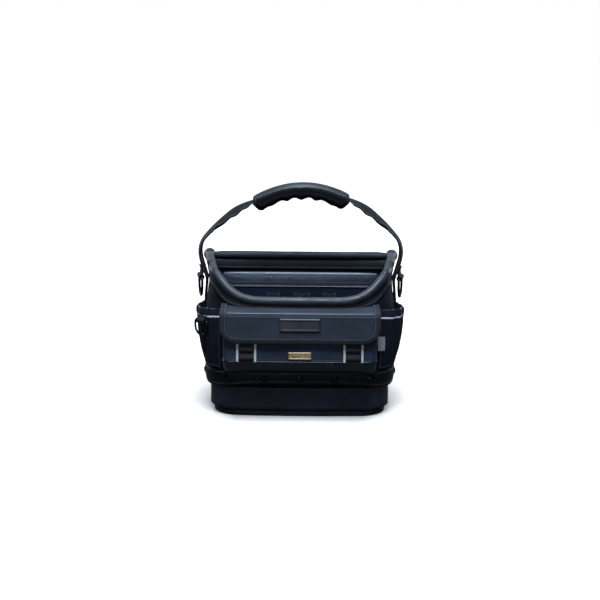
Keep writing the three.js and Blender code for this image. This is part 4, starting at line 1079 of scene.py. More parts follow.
def box_row(half, back, front, radius, u):
    """A box section seen from above, from the left wall's back end to the right one's."""
    t = np.minimum(u, 1 - u) / 0.5
    side = np.where(u < 0.5, -1.0, 1.0)
    turn = np.clip((t - 0.4) / 0.35, 0, 1) * np.pi / 2
    parts = [t <= 0.4, t <= 0.75]
    flat = (half - radius) * (1 - t) / 0.25
    x = np.select(parts, [half, half - radius + radius * np.cos(turn)], flat)
    y = np.select(parts, [mix(back, front + radius, t / 0.4), front + radius - radius * np.sin(turn)], front)
    return side * x, y


across = np.concatenate([np.linspace(0, 0.2, 14, endpoint=False), np.linspace(0.2, 0.375, 9, endpoint=False)])
across = np.concatenate([across, np.linspace(0.375, 0.625, 61), 1 - across[::-1]])
pocket_rows = []
pocket_heights = np.concatenate(
    [np.linspace(POCKET["low"], POCKET_SEAM, 18), np.linspace(POCKET_SEAM + 0.002, POCKET["top"], 30)]
)
for z in pocket_heights:
    rise = share_up(POCKET, z)
    half = POCKET["width"] / 2 * rounded(rise, POCKET_RISES, POCKET_WIDTHS, 0.02)
    puff = 0.0028 * np.exp(-(((z - 0.0985) / 0.0065) ** 2))
    half += puff * 0.5
    front = float(pocket_y(np.array(POCKET["width"] / 2), z))
    back = float(front_y(half, np.array(z))) - 0.001
    x, y = box_row(half, back, front, max(min(POCKET["corner"], (back - front) * 0.6), 0.0004), across)
    inner = (across > 0.2) & (across < 0.8)
    eased = np.clip(np.minimum(across - 0.2, 0.8 - across) / 0.08, 0, 1)
    bowed = np.where(inner, pocket_y(x, z) - front, 0) * eased
    pinch = 0.0012 * np.exp(-(((z - POCKET_SEAM) / 0.002) ** 2)) * (y < back - 0.004)
    droop = 0.0040 * (np.abs(x) / half) ** 6 * smooth(1 - rise / 0.24) * (y < back - 0.006)
    buckle = 0.0006 * np.sin(np.pi * np.clip((z - 0.088) / 0.02, 0, 1)) * noise(x * 60, z * 120, 4) * inner
    y += bowed + pinch + buckle - puff * (y < back - 0.006)
    pocket_rows.append(points_at(x, y, z - droop))
pocket = cloth_sheet("front_pocket_cloth", pocket_rows, (0, 0, 0.13), 0.0022)
SATIN = grained(
    "smooth navy gusset", (0.008, 0.011, 0.021), 0.0009, 0.32, relief=0.00006, Specular_IOR_Level=0.5
)
done_in_two(pocket, "navy_fabric", NAVY, SATIN, lambda face: face.center.z < POCKET_SEAM, "front_pocket")
seam_row = int(np.argmin(np.abs(pocket_heights - POCKET_SEAM)))
cord_line = pocket_rows[seam_row][8:-8] + np.array([0, -0.0009, 0])
thin_cord("pocket_seam_cord", cord_line, 0.0011, "navy_fabric", SATIN)
seam(pocket_rows[seam_row + 1][8:-8] + np.array([0, -0.0003, 0.0012]))
seam(pocket_rows[-3][6:-6] + np.array([0, -0.0003, 0]))
print("front pocket:", len(pocket.data.polygons), "faces")

# %% [markdown]
# ## Flap
#
# A heavy flap covers the pocket: it leaves the body under the rim, runs forward, folds over and hangs down.
# Tape binds its sides and lower edge. Near the fold a corded line and a stitched line cross its whole
# width.

# %% Shape of the flap
FLAP = {
    "width": 0.262, "wall": 0.003, "drop": 0.0465, "fold": 0.004, "corner": 0.027, "room": 0.0031,
    "lift": 0.004,
}
UNDER = POCKET["top"] + 0.001
FOLD_RUN = FLAP["fold"] * np.pi / 2


def fold_front(x):
    rise = share_up(POCKET, UNDER - FLAP["fold"])
    reach = POCKET["reach"] * np.interp(rise, POCKET_RISES, POCKET_REACHES)
    return middle_y - reach - POCKET["bow"] * (1 - (2 * x / POCKET["width"]) ** 2) - FLAP["room"]


FLAP_TOP = middle_y - 0.0015 - (float(fold_front(np.array(0.0))) + FLAP["fold"])
FLAP_LENGTH = FLAP_TOP + FOLD_RUN + FLAP["drop"] - FLAP["fold"]


def flap_point(x, length, lift=0.0):
    """A point on the flap, x from the middle and a length from its sewn edge, lifted off its underside."""
    x, length, lift = stretched(x, length, lift)
    fold_y, fold_z = fold_front(x) + FLAP["fold"], UNDER - FLAP["fold"]
    t = np.clip(length / FLAP_TOP, 0, 1)
    ends = FLAP["lift"] * np.clip(np.abs(x) / (FLAP["width"] / 2), 0, 1) ** 4 * (1 - t)
    turn = np.clip((length - FLAP_TOP) / FOLD_RUN, 0, 1) * np.pi / 2
    out = FLAP["fold"] + lift
    down = np.maximum(0, length - FLAP_TOP - FOLD_RUN)
    lean = np.interp(fold_z - down, [0.1516, UNDER - FLAP["fold"]], [-0.0044, 0.0])
    wave = 0.0009 * smooth(down / 0.03) * (np.sin(x * 48 + 0.8) - 0.4) * np.clip(1 - np.abs(x) / 0.14, 0, 1)
    sag = 0.0008 * np.sin(np.pi * t) * (1 + noise(x * 30, length * 40, 23)) * (t < 1)
    on_top = length <= FLAP_TOP
    y_top = mix(front_y(x, np.full_like(x, UNDER)) - 0.0015, fold_y, t)
    y = np.where(on_top, y_top, fold_y - out * np.sin(turn) + lean + wave)
    z = np.where(on_top, UNDER + ends - 0.0005 * (1 - t) + lift - sag, fold_z + out * np.cos(turn) - down)
    return np.stack([x, y, z], -1)


def flap_half(length, by=0.0):
    radius = FLAP["corner"] - by
    left = FLAP_LENGTH - by - length
    return FLAP["width"] / 2 - by - np.where(
        left >= radius, 0, radius - np.sqrt(np.maximum(0, radius**2 - (radius - left) ** 2))
    )


corner_angles = np.radians(np.linspace(0, 90, 16))
flap_lengths = np.concatenate(
    [
        np.linspace(0, FLAP_TOP, 18, endpoint=False),
        np.linspace(FLAP_TOP, FLAP_TOP + FOLD_RUN, 7, endpoint=False),
        np.linspace(FLAP_TOP + FOLD_RUN, FLAP_LENGTH - FLAP["corner"], 8, endpoint=False),
        FLAP_LENGTH - FLAP["corner"] * (1 - np.sin(corner_angles)),
    ]
)
flap_across = np.linspace(-1, 1, 81)
flap_rows = [flap_point(flap_across * flap_half(length), length, FLAP["wall"]) for length in flap_lengths]
flap = cloth_sheet("front_flap_cloth", flap_rows, (0, -0.1, 0.1), 0.0026)
done(flap, "tote", "body_nylon", NYLON, "front_flap")
print("flap:", len(flap.data.polygons), "faces")


# %% Binding, cord and stitches of the flap
def flap_edge(by, lift):
    """A line along the flap's sides and lower edge, drawn in and lifted."""
    radius, flat = FLAP["corner"] - by, FLAP["width"] / 2 - FLAP["corner"]
    straight = np.linspace(0, FLAP_LENGTH - FLAP["corner"], 40)
    side_x = np.full_like(straight, FLAP["width"] / 2 - by)
    turn_x = flat + radius * np.cos(corner_angles)
    turn_length = FLAP_LENGTH - FLAP["corner"] + radius * np.sin(corner_angles)
    low_x = np.linspace(flat, -flat, 60)[1:-1]
    xs = np.concatenate([-side_x, -turn_x[1:], low_x[::-1], turn_x[::-1], side_x[::-1][1:]])
    low_length = np.full_like(low_x, FLAP_LENGTH - by)
    ls = np.concatenate([straight, turn_length[1:], low_length, turn_length[::-1], straight[::-1][1:]])
    return flap_point(xs, ls, lift)


wall = FLAP["wall"]
tape_outline = [
    (0.0095, wall + 0.0001), (0.0094, wall + 0.0009), (0.0086, wall + 0.0013), (0.0050, wall + 0.0014),
    (0.0014, wall + 0.0013), (-0.0003, wall + 0.0008), (-0.0011, wall * 0.5), (-0.0005, 0.0),
    (0.0014, -0.0006), (0.0085, -0.0005), (0.0092, 0.0003), (0.0060, wall - 0.0003),
]
binding = grid("flap_edge_binding", [flap_edge(by, lift) for by, lift in tape_outline], tube=True)
with edited(binding) as bm:
    fill_holes(bm)
done(soften(face_out(binding), 1), "tote", "webbing", TAPE_EDGE, "flap_binding")
seam(flap_edge(0.0078, wall + 0.0013))
cord_reach = np.linspace(-1, 1, 90) * (FLAP["width"] / 2 - 0.0095)
CORD_PLACE = FLAP_TOP + FOLD_RUN * 0.35
fold_line = flap_point(cord_reach, CORD_PLACE, wall + 0.0004)
fold_cord = thin_cord("flap_fold_cord", fold_line, 0.0009, "webbing", SATIN_CORD_HIGHLIGHT)
for step in (-0.0034, 0.0034):
    seam(flap_point(cord_reach, CORD_PLACE + step, wall + 0.0002))

# %% [markdown]
# ## Label, tag, webbing and bright strips
#
# The small trim sits on the flap and the pocket. The moulded label and the brass tag are bare plates with a
# raised border. Two runs of ribbed webbing are sewn down in short loops, and a reflective strip runs along
# each of their sides.


# %% Plates with a raised border
PLATE_SUNK = 0.0003


def plate_rows(width, height, wall, border, raised, steps=(40, 18)):
    """Across, down and height values of a plate with rounded edges and a border."""
    u = np.concatenate([[-0.5, -0.498], np.linspace(-0.49, 0.49, steps[0]), [0.498, 0.5]])
    v = np.concatenate([[0, 0.004], np.linspace(0.03, 0.97, steps[1]), [0.996, 1]])
    across, down = np.meshgrid(u * width, v * height)
    edge = np.minimum(width / 2 - np.abs(across), np.minimum(down, height - down))
    lift = wall * smooth(edge / 0.0006) ** 0.5
    ridge = smooth((edge - border * 0.35) / 0.0004) * (1 - smooth((edge - border) / 0.0005))
    return across, down, lift + raised * ridge


def plate(name, at, width, height, wall, border, raised):
    """A plate over a surface, which at() gives for places across, down and off it."""
    piece = grid(name, at(*plate_rows(width, height, wall, border, raised)))
    under, over = (at(np.array([0.0]), np.array([height / 2]), np.array([lift]))[0] for lift in (0.0, 0.001))
    down = Vector((under - over) / np.linalg.norm(under - over) * PLATE_SUNK)
    with edited(piece) as bm:
        walls = bmesh.ops.extrude_edge_only(bm, edges=[e for e in bm.edges if e.is_boundary])["geom"]
        for corner in walls:
            if isinstance(corner, bmesh.types.BMVert):
                corner.co += down
        fill_holes(bm)
    shade_smooth(piece.data)
    return face_out(piece)


LABEL_START, TAG_LOW = FLAP_TOP + FOLD_RUN + 0.0005, 0.115
LABEL_RUBBER = grained("label rubber", (0.012, 0.014, 0.018), 0.0008, 0.48, relief=0.00008)
label = plate(
    "bare_label",
    lambda x, d, lift: flap_point(x, LABEL_START + d, wall + 0.0004 + lift),
    0.067, 0.022, 0.0014, 0.0030, 0.0008,
)
done(label, "tote", "base_rubber", LABEL_RUBBER, "label_patch")
tag = plate(
    "brass_tag",
    lambda x, d, lift: points_at(x, pocket_y(x, TAG_LOW + d) - 0.0006 - lift, TAG_LOW + d),
    0.038, 0.0125, 0.0010, 0.0017, 0.00045,
)
done(tag, "tote", "tag_brass", BRASS, "metal_tag")
print("plates:", len(label.data.polygons), len(tag.data.polygons), "faces")

# %% Webbing loops and bright strips on the pocket
WEB_RUN = {
    "width": 0.025, "low": 0.110, "top": 0.167, "loop": 0.014, "bulge": 0.0034, "spread": 0.176,
    "loops": 2,
}


def on_pocket(x, z, lift):
    x, z = stretched(x, z)
    return np.stack([x, pocket_y(x, z) - 0.0003 - lift, z], -1)


def web_bulge(z):
    loops = (z - WEB_RUN["low"]) / WEB_RUN["loop"]
    return np.where(loops < WEB_RUN["loops"], WEB_RUN["bulge"] * np.abs(np.sin(np.pi * loops)) ** 1.3, 0)


for side, name in SIDES:
    middle = side * WEB_RUN["spread"] / 2
    heights = np.linspace(WEB_RUN["low"], WEB_RUN["top"], 66)
    columns = np.linspace(-0.5, 0.5, 9) * WEB_RUN["width"]
    lifts = 0.0003 * (np.abs(columns) > 0.012)
    rows = [on_pocket(middle + columns, z, web_bulge(z) + 0.0019 - lifts) for z in heights]
    chain = cloth_sheet("web_loops_" + name, rows, (middle, 0, 0.13), 0.0017)
    done(chain, "tote", "webbing", WEB, "web_chain_" + name)
    for stop in range(WEB_RUN["loops"] + 1):
        for gap in (-0.0006, 0.0006):
            z = WEB_RUN["low"] + max(stop * WEB_RUN["loop"], 0.0012) + gap
            seam(on_pocket(middle + np.linspace(-0.0115, 0.0115, 24), z, 0.0021))
    for edge in (-1, 1):
        where = "inner" if edge * side < 0 else "outer"
        strip_x = middle + edge * (WEB_RUN["width"] / 2 + 0.0022)
        lines = [on_pocket(strip_x + np.linspace(-0.0019, 0.0019, 5), z, 0.0009) for z in heights[::3]]
        strip = cloth_sheet(f"bright_strip_{name}_{where}", lines, (strip_x, 0, 0.13), 0.0006)
        done(strip, "tote", "reflector", BEADS, f"reflector_{name}_{where}")
print("webbing and strips done")

# %% [markdown]
# ## Side pockets
#
# Each side pocket wraps round a front corner and stands open. Its mouth is gathered by a smooth cuff, with
# a bright stripe under it, and from the stripe soft pleats run down and fade towards the band.

# %% Pocket cloth, cuff and stripe
SIDE = {"low": 0.083, "top": 0.184, "reach": 0.0165, "wall": 0.0022, "from": 1.33, "lift": 0.004}
SIDE_RISES = [0, 0.12, 0.3, 0.5, 0.75, 1]
SIDE_REACHES = [0.16, 0.36, 0.55, 0.7, 0.92, 1]
CUFF_TOP = 0.1846
CUFF_OUTLINE = [
    (0.0126, 0.0004), (0.0120, 0.0014), (0.0060, 0.0017), (0.0008, 0.0013), (0, 0.0003), (0.0003, -0.0015),
    (0.0100, -0.0022),
]
STRIPE = (0.1688, 0.1714)
_, top_deep, top_front, top_back, _ = body_plan(np.array(2.0))
SIDE_TO = 2 + (-0.019 - 0.002 + float(top_deep - top_front)) / float(2 * top_deep - top_front - top_back)


def side_point(side, u, z, lift=0.0):
    """A point on a side pocket, u from its front edge to its back one."""
    u, z, lift = stretched(u, z, lift)
    rise = share_up(SIDE, z)
    reach = SIDE["reach"] * rounded(rise, SIDE_RISES, SIDE_REACHES, 0.03)
    inside = np.clip(u, 0, 1)
    swell = np.sin(np.pi * inside) ** 0.7
    drift = inside * 34 + 2.2 * noise(rise * 2, inside * 2, 41)
    pleats = 0.0015 * smooth(rise / 0.5) * np.sin(drift) * np.sqrt(swell)
    creases = 0.0015 * np.sin(np.pi * np.clip(rise, 0, 1)) * noise(inside * 6 + side, rise * 5, 29) * swell
    out = 0.0005 + SIDE["wall"] + np.maximum(0, reach - SIDE["wall"]) * swell
    out = out + pleats + creases - 0.0008 + lift
    lifted = z + SIDE["lift"] * (1 - inside) ** 2 * np.clip(rise, 0, 1)
    return body_point(side * mix(SIDE["from"], SIDE_TO, u), lifted, out)


pocket_across = np.linspace(0, 1, 73)
for side, name in SIDES:
    heart = (side * 0.12, -0.03, 0.13)
    heights = np.concatenate([np.linspace(SIDE["low"], 0.172, 40), np.linspace(0.1735, SIDE["top"], 6)])
    rows = [side_point(side, pocket_across, z) for z in heights]
    cloth = cloth_sheet("side_pocket_cloth_" + name, rows, heart, 0.0020)
    done(cloth, "tote", "navy_fabric", SHADED_SIDE_NYLON, "side_pocket_" + name)
    rows = [side_point(side, pocket_across, CUFF_TOP - drop, lift) for drop, lift in CUFF_OUTLINE]
    cuff = cloth_sheet("pocket_mouth_" + name, rows, heart, 0.0005)
    done(cuff, "tote", "navy_fabric", SATIN, "pocket_cuff_" + name)
    lines = [side_point(side, pocket_across, z, 0.0010) for z in np.linspace(*STRIPE, 4)]
    stripe = cloth_sheet("bright_stripe_" + name, lines, heart, 0.0006)
    done(stripe, "tote", "reflector", BEADS, "pocket_stripe_" + name)
    for z in (0.1676, 0.0865):
        seam(side_point(side, np.linspace(0.01, 0.99, 90), z, 0.0003))
    for edge in (0.018, 0.982):
        seam(side_point(side, edge, np.linspace(0.086, 0.166, 40), 0.0003))
WOVEN_TAG = {"width": 0.012, "low": 0.115, "top": 0.139, "starts": -0.05}
pocket_ends = [side_point(1, u, WOVEN_TAG["low"]) for u in (0, 1)]
woven_span = WOVEN_TAG["width"] / float(np.linalg.norm(pocket_ends[0] - pocket_ends[1]))
woven_across = WOVEN_TAG["starts"] + np.linspace(0, 1, 12) * woven_span
woven_heights = np.linspace(WOVEN_TAG["low"], WOVEN_TAG["top"], 14)
woven_rows = [side_point(1, woven_across, z, 0.0014) for z in woven_heights]
woven_tag = cloth_sheet("plain_woven_tag", woven_rows, (0.12, 0, 0.12), 0.0008)
done(woven_tag, "tote", "woven_label", WOVEN_LABEL, "woven_tag")
print("side pockets done, stitched rows so far:", len(seams["tote"]))

# %% [markdown]
# ## Handle
#
# A moulded grip with finger rests below holds the two ends of the strap. The straps are stiff ribbed
# webbing: flat on the body's sides, bulging out past the rim, and folding lengthwise as they run up into
# the grip.

# %% Grip
GRIP_SIZE = {"length": 0.166, "top": 0.387, "high": 0.029, "deep": 0.036, "lean": math.tan(math.radians(1.6))}
GRIP_OUT = [0, 0.1, 0.2, 0.28, 0.38, 0.46, 0.56, 0.66, 0.78, 0.87, 0.95, 1]
GRIP_DROP = [0, 0.003, 0.012, 0.025, 0.05, 0.075, 0.11, 0.155, 0.215, 0.27, 0.325, 0.375]
GRIP_HIGH = [1, 0.95, 0.93, 1.01, 0.96, 1, 1.02, 1.08, 1.16, 1.04, 0.72, 0.46]
GRIP_DEEP = [1, 1, 1, 1, 0.99, 0.98, 0.96, 0.95, 0.94, 0.92, 0.88, 0.74]


def grip_top(out, x):
    drop = GRIP_SIZE["length"] / 2 * np.interp(out, GRIP_OUT, GRIP_DROP) * 0.75
    return GRIP_SIZE["top"] - drop + x * GRIP_SIZE["lean"]


grip_rows = []
grip_ends = [np.linspace(-1, -0.97, 3, endpoint=False), [0.98, 0.99, 1]]
for t in np.concatenate([grip_ends[0], np.linspace(-0.97, 0.97, 110), grip_ends[1]]):
    out, x = abs(t), t * GRIP_SIZE["length"] / 2
    high = GRIP_SIZE["high"] / 2 * rounded(out, GRIP_OUT, GRIP_HIGH, 0.02)
    deep = GRIP_SIZE["deep"] / 2 * rounded(out, GRIP_OUT, GRIP_DEEP, 0.02)
    angle = circle(44) + 0.07
    c, s = np.cos(angle), np.sin(angle)
    y = deep * np.sign(c) * np.abs(c) ** 0.8
    z = grip_top(out, x) - high + high * np.sign(s) * np.abs(s) ** 0.8
    rest = 0.0013 * np.cos((x - 0.001) / 0.0245 * 2 * np.pi) * smooth((0.068 - abs(x)) / 0.01)
    z -= rest * np.clip(-s, 0, 1)
    waist = 0.0010 * np.exp(-(((s + 0.05) / 0.16) ** 2)) * smooth((0.078 - abs(x)) / 0.01)
    y -= np.sign(c) * waist
    grip_rows.append(points_at(x, y, z))
grip = face_out(grid("moulded_grip", grip_rows, loop=True, capped=True))
KNURL_PITCH, KNURLED = 0.0026, 0.078
KNURL_AND_SHADE = grained("knurled grip", (0.0015, 0.0018, 0.0026), 0.0006, 0.6, relief=0.0001, Specular_IOR_Level=0.15)
knurl = Wiring(KNURL_AND_SHADE)
along, _, up = knurl.split(False, 1 / KNURL_PITCH)
slants = [knurl.humps(knurl.sum(operation, along, up)) for operation in ("ADD", "SUBTRACT")]
knurl.relief(knurl.sum("MULTIPLY", *slants), 0.0004, 0.9)
# Faces that turn less than halfway up get the much darker knurled rubber: the knurl is real, and its dark
# colour on the grip's sides and underside is painted shade.
done_in_two(
    grip, "grip_rubber", GRIP, KNURL_AND_SHADE, lambda face: face.normal.z < 0.5 and abs(face.center.x) < KNURLED,
    "handle_grip",
)
soften(grip, 1)
print("grip:", len(grip.data.polygons), "faces")

# %% Straps
STRAP = {
    "width": 0.038, "wall": 0.0032, "side": 0.172, "fold": 0.011, "low": BAND_TOP + 0.0005,
    "leave": 0.220, "steps": 96,
}
STRAP_SEAMS = (0.086, 0.089, 0.2165, 0.2195)
ROUTE_OUT = [1.005, 1.04, 1.047, 1.02, 0.97, 0.88, 0.74, 0.583, 0.4, 0.245, 0.1, 0]
ROUTE_UP = [0.055, 0.165, 0.267, 0.36, 0.44, 0.525, 0.64, 0.75, 0.865, 0.932, 0.975, 1]
FOLD_ALONG = [0, 0.12, 0.45, 0.62, 0.78, 0.92, 1]
FOLD_WIDTH = [1, 1, 1, 0.97, 0.9, 0.76, 0.579]
FRONT_FOLD = [0, 0.32, 0.40, 0.55, 1.05, 0.80, 0.2]
BACK_FOLD = [0, 0.32, 0.45, 1.15, 0.95, 0.50, 0.2]


def between(t, low, high, first, second):
    """The mix of two values by how far t is from one knot to another."""
    return (high - t) / (high - low) * first + (t - low) / (high - low) * second


def smooth_path(points, steps):
    """A curve through points, with its bends spread evenly."""
    points = np.asarray(points, float)
    ends = np.vstack([2 * points[0] - points[1], points, 2 * points[-1] - points[-2]])
    out = []
    for i in range(1, len(ends) - 2):
        p = ends[i - 1 : i + 3]
        knots = running(p, 0.5)
        t = np.linspace(knots[1], knots[2], 12, endpoint=i == len(ends) - 3)[:, None]
        for span in (1, 2):
            p = [between(t, knots[k], knots[k + span], p[k], p[k + 1]) for k in range(4 - span)]
        out.append(between(t, knots[1], knots[2], *p))
    return resampled(np.concatenate(out), steps + 1)[0]


def strap_route(side):
    end_x = GRIP_SIZE["length"] / 2 + 0.0003
    end_z = float(grip_top(1, side * end_x)) - GRIP_SIZE["high"] * GRIP_HIGH[-1] / 2
    heights = np.linspace(STRAP["low"], STRAP["leave"], 36)
    on_body = np.abs(body_point(2.5, heights, 0.0008 + STRAP["wall"] / 2))
    on_body[:, 1] = 0
    low = RIM_HEIGHTS["side"] - RIM["tube"] / 4
    free = [(mix(end_x, STRAP["side"], o), 0, mix(low, end_z, u)) for o, u in zip(ROUTE_OUT, ROUTE_UP)]
    return on_body[:-1], smooth_path([on_body[-1], *free], STRAP["steps"])


strap_ways = {}
for side, name in SIDES:
    on_body, free = strap_route(side)
    route = np.concatenate([on_body, free])
    strap_ways[side] = route
    along = np.gradient(route, axis=0)
    along[-1] = (-1, 0, 0)
    way_out = np.stack([along[:, 2], 0 * along[:, 0], -along[:, 0]], -1)
    way_out /= np.linalg.norm(way_out, axis=1, keepdims=True)
    share = np.clip((np.arange(len(route)) - len(on_body)) / STRAP["steps"], 0, 1)
    front_fold = rounded(share, FOLD_ALONG, FRONT_FOLD, 0.03)
    front_fold = front_fold + 0.10 * np.sin(share * 41) * (share > 0.5) * (share < 0.95)
    back_fold = rounded(share, FOLD_ALONG, BACK_FOLD, 0.03)
    width = STRAP["width"] * rounded(share, FOLD_ALONG, FOLD_WIDTH, 0.03)
    spread = np.linspace(-1, 1, 21)
    fold = STRAP["fold"] * np.where(spread[None] < 0, front_fold[:, None], back_fold[:, None])
    lift = STRAP["wall"] / 2 - fold * np.abs(spread[None]) ** 1.8 - 0.0006 * np.abs(spread[None]) ** 12
    rows = route[:, None] + lift[..., None] * way_out[:, None]
    rows[..., 1] = spread[None] / 2 * width[:, None]
    rows[..., 0] *= side
    strap = cloth_sheet("webbing_strap_" + name, rows, (0, 0, 0.2), STRAP["wall"] - 0.0004)
    done(strap, "tote", "webbing", STRAP_WEB, "handle_strap_" + name)
    for edge in (-0.86, 0.86):
        column = int(round((edge + 1) / 2 * 20))
        seam(rows[:, column] + 0.0001 * way_out * [side, 1, 1])
    for z in STRAP_SEAMS:
        row = int(np.argmin(np.abs(route[: len(on_body), 2] - z)))
        seam(rows[row, 2:-2] + np.array([side * 0.0001, 0, z - route[row, 2]]))
for side, route in strap_ways.items():
    print("strap", side, "runs", round(float(running(route)[-1]), 4), "m")

# %% [markdown]
# ## Rings
#
# Three plated steel rings hang in sewn web loops: one on each side strap and a smaller one on the left
# pocket. Each is a bar across the top with two arms and a round foot, made from one bent wire. They swing,
# so each rides on a body of its own.


# %% Rings and their loops
SIDE_RING = {"inner": 0.034, "wire": 0.0046, "drop": 0.0335}
SIDE_RING_AT, SIDE_RING_WAY = (0.17385, 0, 0.222), (0.207912, 0.978148, 0)
SMALL_RING = {"inner": 0.026, "wire": 0.004, "drop": 0.025}
SMALL_RING_AT, SMALL_RING_WAY = (-0.166194, -0.097717, 0.165), (-0.712074, 0.702104, 0)
SIDE_LOOP, SMALL_LOOP = 0.0278, 0.0198
RING_PLAY, SLEEVE = 0.00035, 0.0018


def ring_line(inner, wire, drop, corner=0.004):
    half, arm = (inner + wire) / 2, drop * 0.4
    flat, bend, bow = half - corner, np.linspace(0, np.pi / 2, 8), np.linspace(np.pi, 2 * np.pi, 40)
    left = [(-flat - corner * math.sin(a), -corner + corner * math.cos(a)) for a in bend]
    foot = [(half * math.cos(a), -arm + (drop - arm) * math.sin(a)) for a in bow]
    top = [(x, 0) for x in np.linspace(flat, -flat, 16)[:-1]]
    right = [(-x, z) for x, z in left[::-1]]
    return np.array(top + left + foot + right[:-1])


def ring(name, inner, wire, drop, centre, across):
    line = ring_line(inner, wire, drop)
    across, centre = np.asarray(across, float), np.asarray(centre, float)
    path = centre + line[:, :1] * across + line[:, 1:] * np.array([0, 0, 1.0])
    face = np.cross(across, (0, 0, 1.0))
    ahead, behind = np.roll(path, -1, 0), np.roll(path, 1, 0)
    along = (ahead - behind) / np.linalg.norm(ahead - behind, axis=1, keepdims=True)
    over = np.cross(along, face)
    angles = circle(14)[:, None, None]
    rows = path[None] + wire / 2 * (np.cos(angles) * face + np.sin(angles) * over)
    return face_out(grid(name, rows, loop=True, tube=True))


def ring_loop(name, width, wire, centre, across, away, tab):
    """A sleeve of web round the ring's bar, and two layers up to where they are sewn."""
    across, away, centre = (np.asarray(v, float) for v in (across, away, centre))
    bore, up = wire / 2 + RING_PLAY, np.array([0, 0, 1.0])
    turns = np.linspace(np.radians(75), np.radians(-255), 26)
    profile = [(np.cos(turn), np.sin(turn)) for turn in turns]
    rows = []
    for s in np.linspace(-0.5, 0.5, 9):
        middle = centre + s * width * across
        ring_part = [middle + (bore + SLEEVE) * (c * away + h * up) for c, h in profile]
        outer_tab = [middle + away * (d + SLEEVE) + up * h for d, h in tab[::-1]]
        inner_tab = [middle + away * (d - 0.0002) + up * h for d, h in tab]
        rows.append(np.array(outer_tab + ring_part + inner_tab))
    piece = grid(name, rows)
    thick = piece.modifiers.new("web thickness", "SOLIDIFY")
    thick.thickness, thick.offset = 0.0016, 0
    return soften(piece, 1)


for side, name in SIDES:
    centre, across = np.array(SIDE_RING_AT) * (side, 1, 1), np.array(SIDE_RING_WAY) * (side, 1, 1)
    piece = ring(f"side_ring_{name}", centre=centre, across=across, **SIDE_RING)
    done(piece, f"{name}_ring", "dark_metal", STEEL, "d_ring_" + name)
    away = side * np.cross(across, (0, 0, 1))
    outer = SIDE_RING["wire"] / 2 + RING_PLAY + SLEEVE
    rise = np.linspace(outer * 0.7, 0.0195, 8)
    strap_side = strap_ways[side][:60]
    strap_x = np.interp(SIDE_RING_AT[2] + rise, strap_side[:, 2], strap_side[:, 0]) + 0.0016 + 0.0006
    lean = mix(-0.0016, strap_x - abs(centre[0]), smooth((rise - rise[0]) / 0.012))
    tab = list(zip(lean, rise))
    loop = ring_loop("web_ring_loop_" + name, SIDE_LOOP, SIDE_RING["wire"], centre, across, away, tab)
    done(loop, "tote", "webbing", WEB, "ring_loop_" + name)
piece = ring("small_pocket_ring", centre=SMALL_RING_AT, across=SMALL_RING_WAY, **SMALL_RING)
done(piece, "small_ring", "dark_metal", STEEL, "pocket_ring")
away = (-SMALL_RING_WAY[1], SMALL_RING_WAY[0], 0)
rise = np.linspace(0.0030, 0.009, 5)
tab = [(mix(-0.0014, -0.0034, smooth((h - 0.003) / 0.006)), h) for h in rise]
loop = ring_loop(
    "web_pocket_loop", SMALL_LOOP, SMALL_RING["wire"], SMALL_RING_AT, SMALL_RING_WAY, away, tab
)
done(loop, "tote", "webbing", WEB, "pocket_ring_loop")
print("rings done")

# %% [markdown]
# ## Inside
#
# A padded divider stands from side to side, covered in smooth coated cloth. On its front is a flat tool
# pocket of nylon with a bound top edge, and three webbing loops for tools.

# %% Divider
DIVIDER = {"half": 0.141, "deep": 0.014, "low": 0.0196, "top": 0.228, "place": 0.026}
DIVIDER_RISES = [0, 0.14, 0.2, 0.8, 0.95, 0.985, 1]
DIVIDER_HALVES = [0.85, 0.85, 0.96, 1, 1, 0.995, 0.98]
DIVIDER_THICK = [0.9, 1, 1, 1, 0.80, 0.55, 0.25]
divider_rows = []
for rise in np.concatenate([np.linspace(0, 0.9, 40), np.linspace(0.91, 1, 10)]):
    around = circle(120)
    half = DIVIDER["half"] * np.interp(rise, DIVIDER_RISES, DIVIDER_HALVES) - 0.0008
    deep = (DIVIDER["deep"] / 2 - 0.0010) * np.interp(rise, DIVIDER_RISES, DIVIDER_THICK)
    c, s = np.cos(around), np.sin(around)
    x = half * np.sign(c) * np.abs(c) ** 0.5
    y = DIVIDER["place"] - deep * np.sign(s) * np.abs(s) ** 0.35
    z = mix(DIVIDER["low"] + 0.0005, DIVIDER["top"] - 0.0006, rise)
    divider_rows.append(points_at(x, y, z))
divider = face_out(grid("padded_divider", divider_rows, loop=True, capped=True))
divider = filled(divider, 0.0040, 0.0008)
done(divider, "tote", "coated_fabric", PADDED_SATIN_HIGHLIGHT, "divider_panel")
print("divider:", len(divider.data.polygons), "faces before its last smoothing")

# %% Tool panel, its binding and its loops
PANEL = {"half": 0.124, "top": 0.211, "gap": 0.013, "wall": 0.0025, "corner": 0.008}
panel_back = DIVIDER["place"] - DIVIDER["deep"] / 2 - 0.0005
panel_front = DIVIDER["place"] - DIVIDER["deep"] / 2 - PANEL["gap"]


def panel_row(z, lift):
    x, y = box_row(PANEL["half"] + lift, panel_back, panel_front - lift, PANEL["corner"] + lift, across_panel)
    slack = 0.0009 * np.sin(np.pi * np.clip((z - 0.02) / 0.19, 0, 1)) * noise(x * 26, z * 24 + 0 * x, 9)
    return points_at(x, y + slack * (np.abs(x) < 0.11), z)


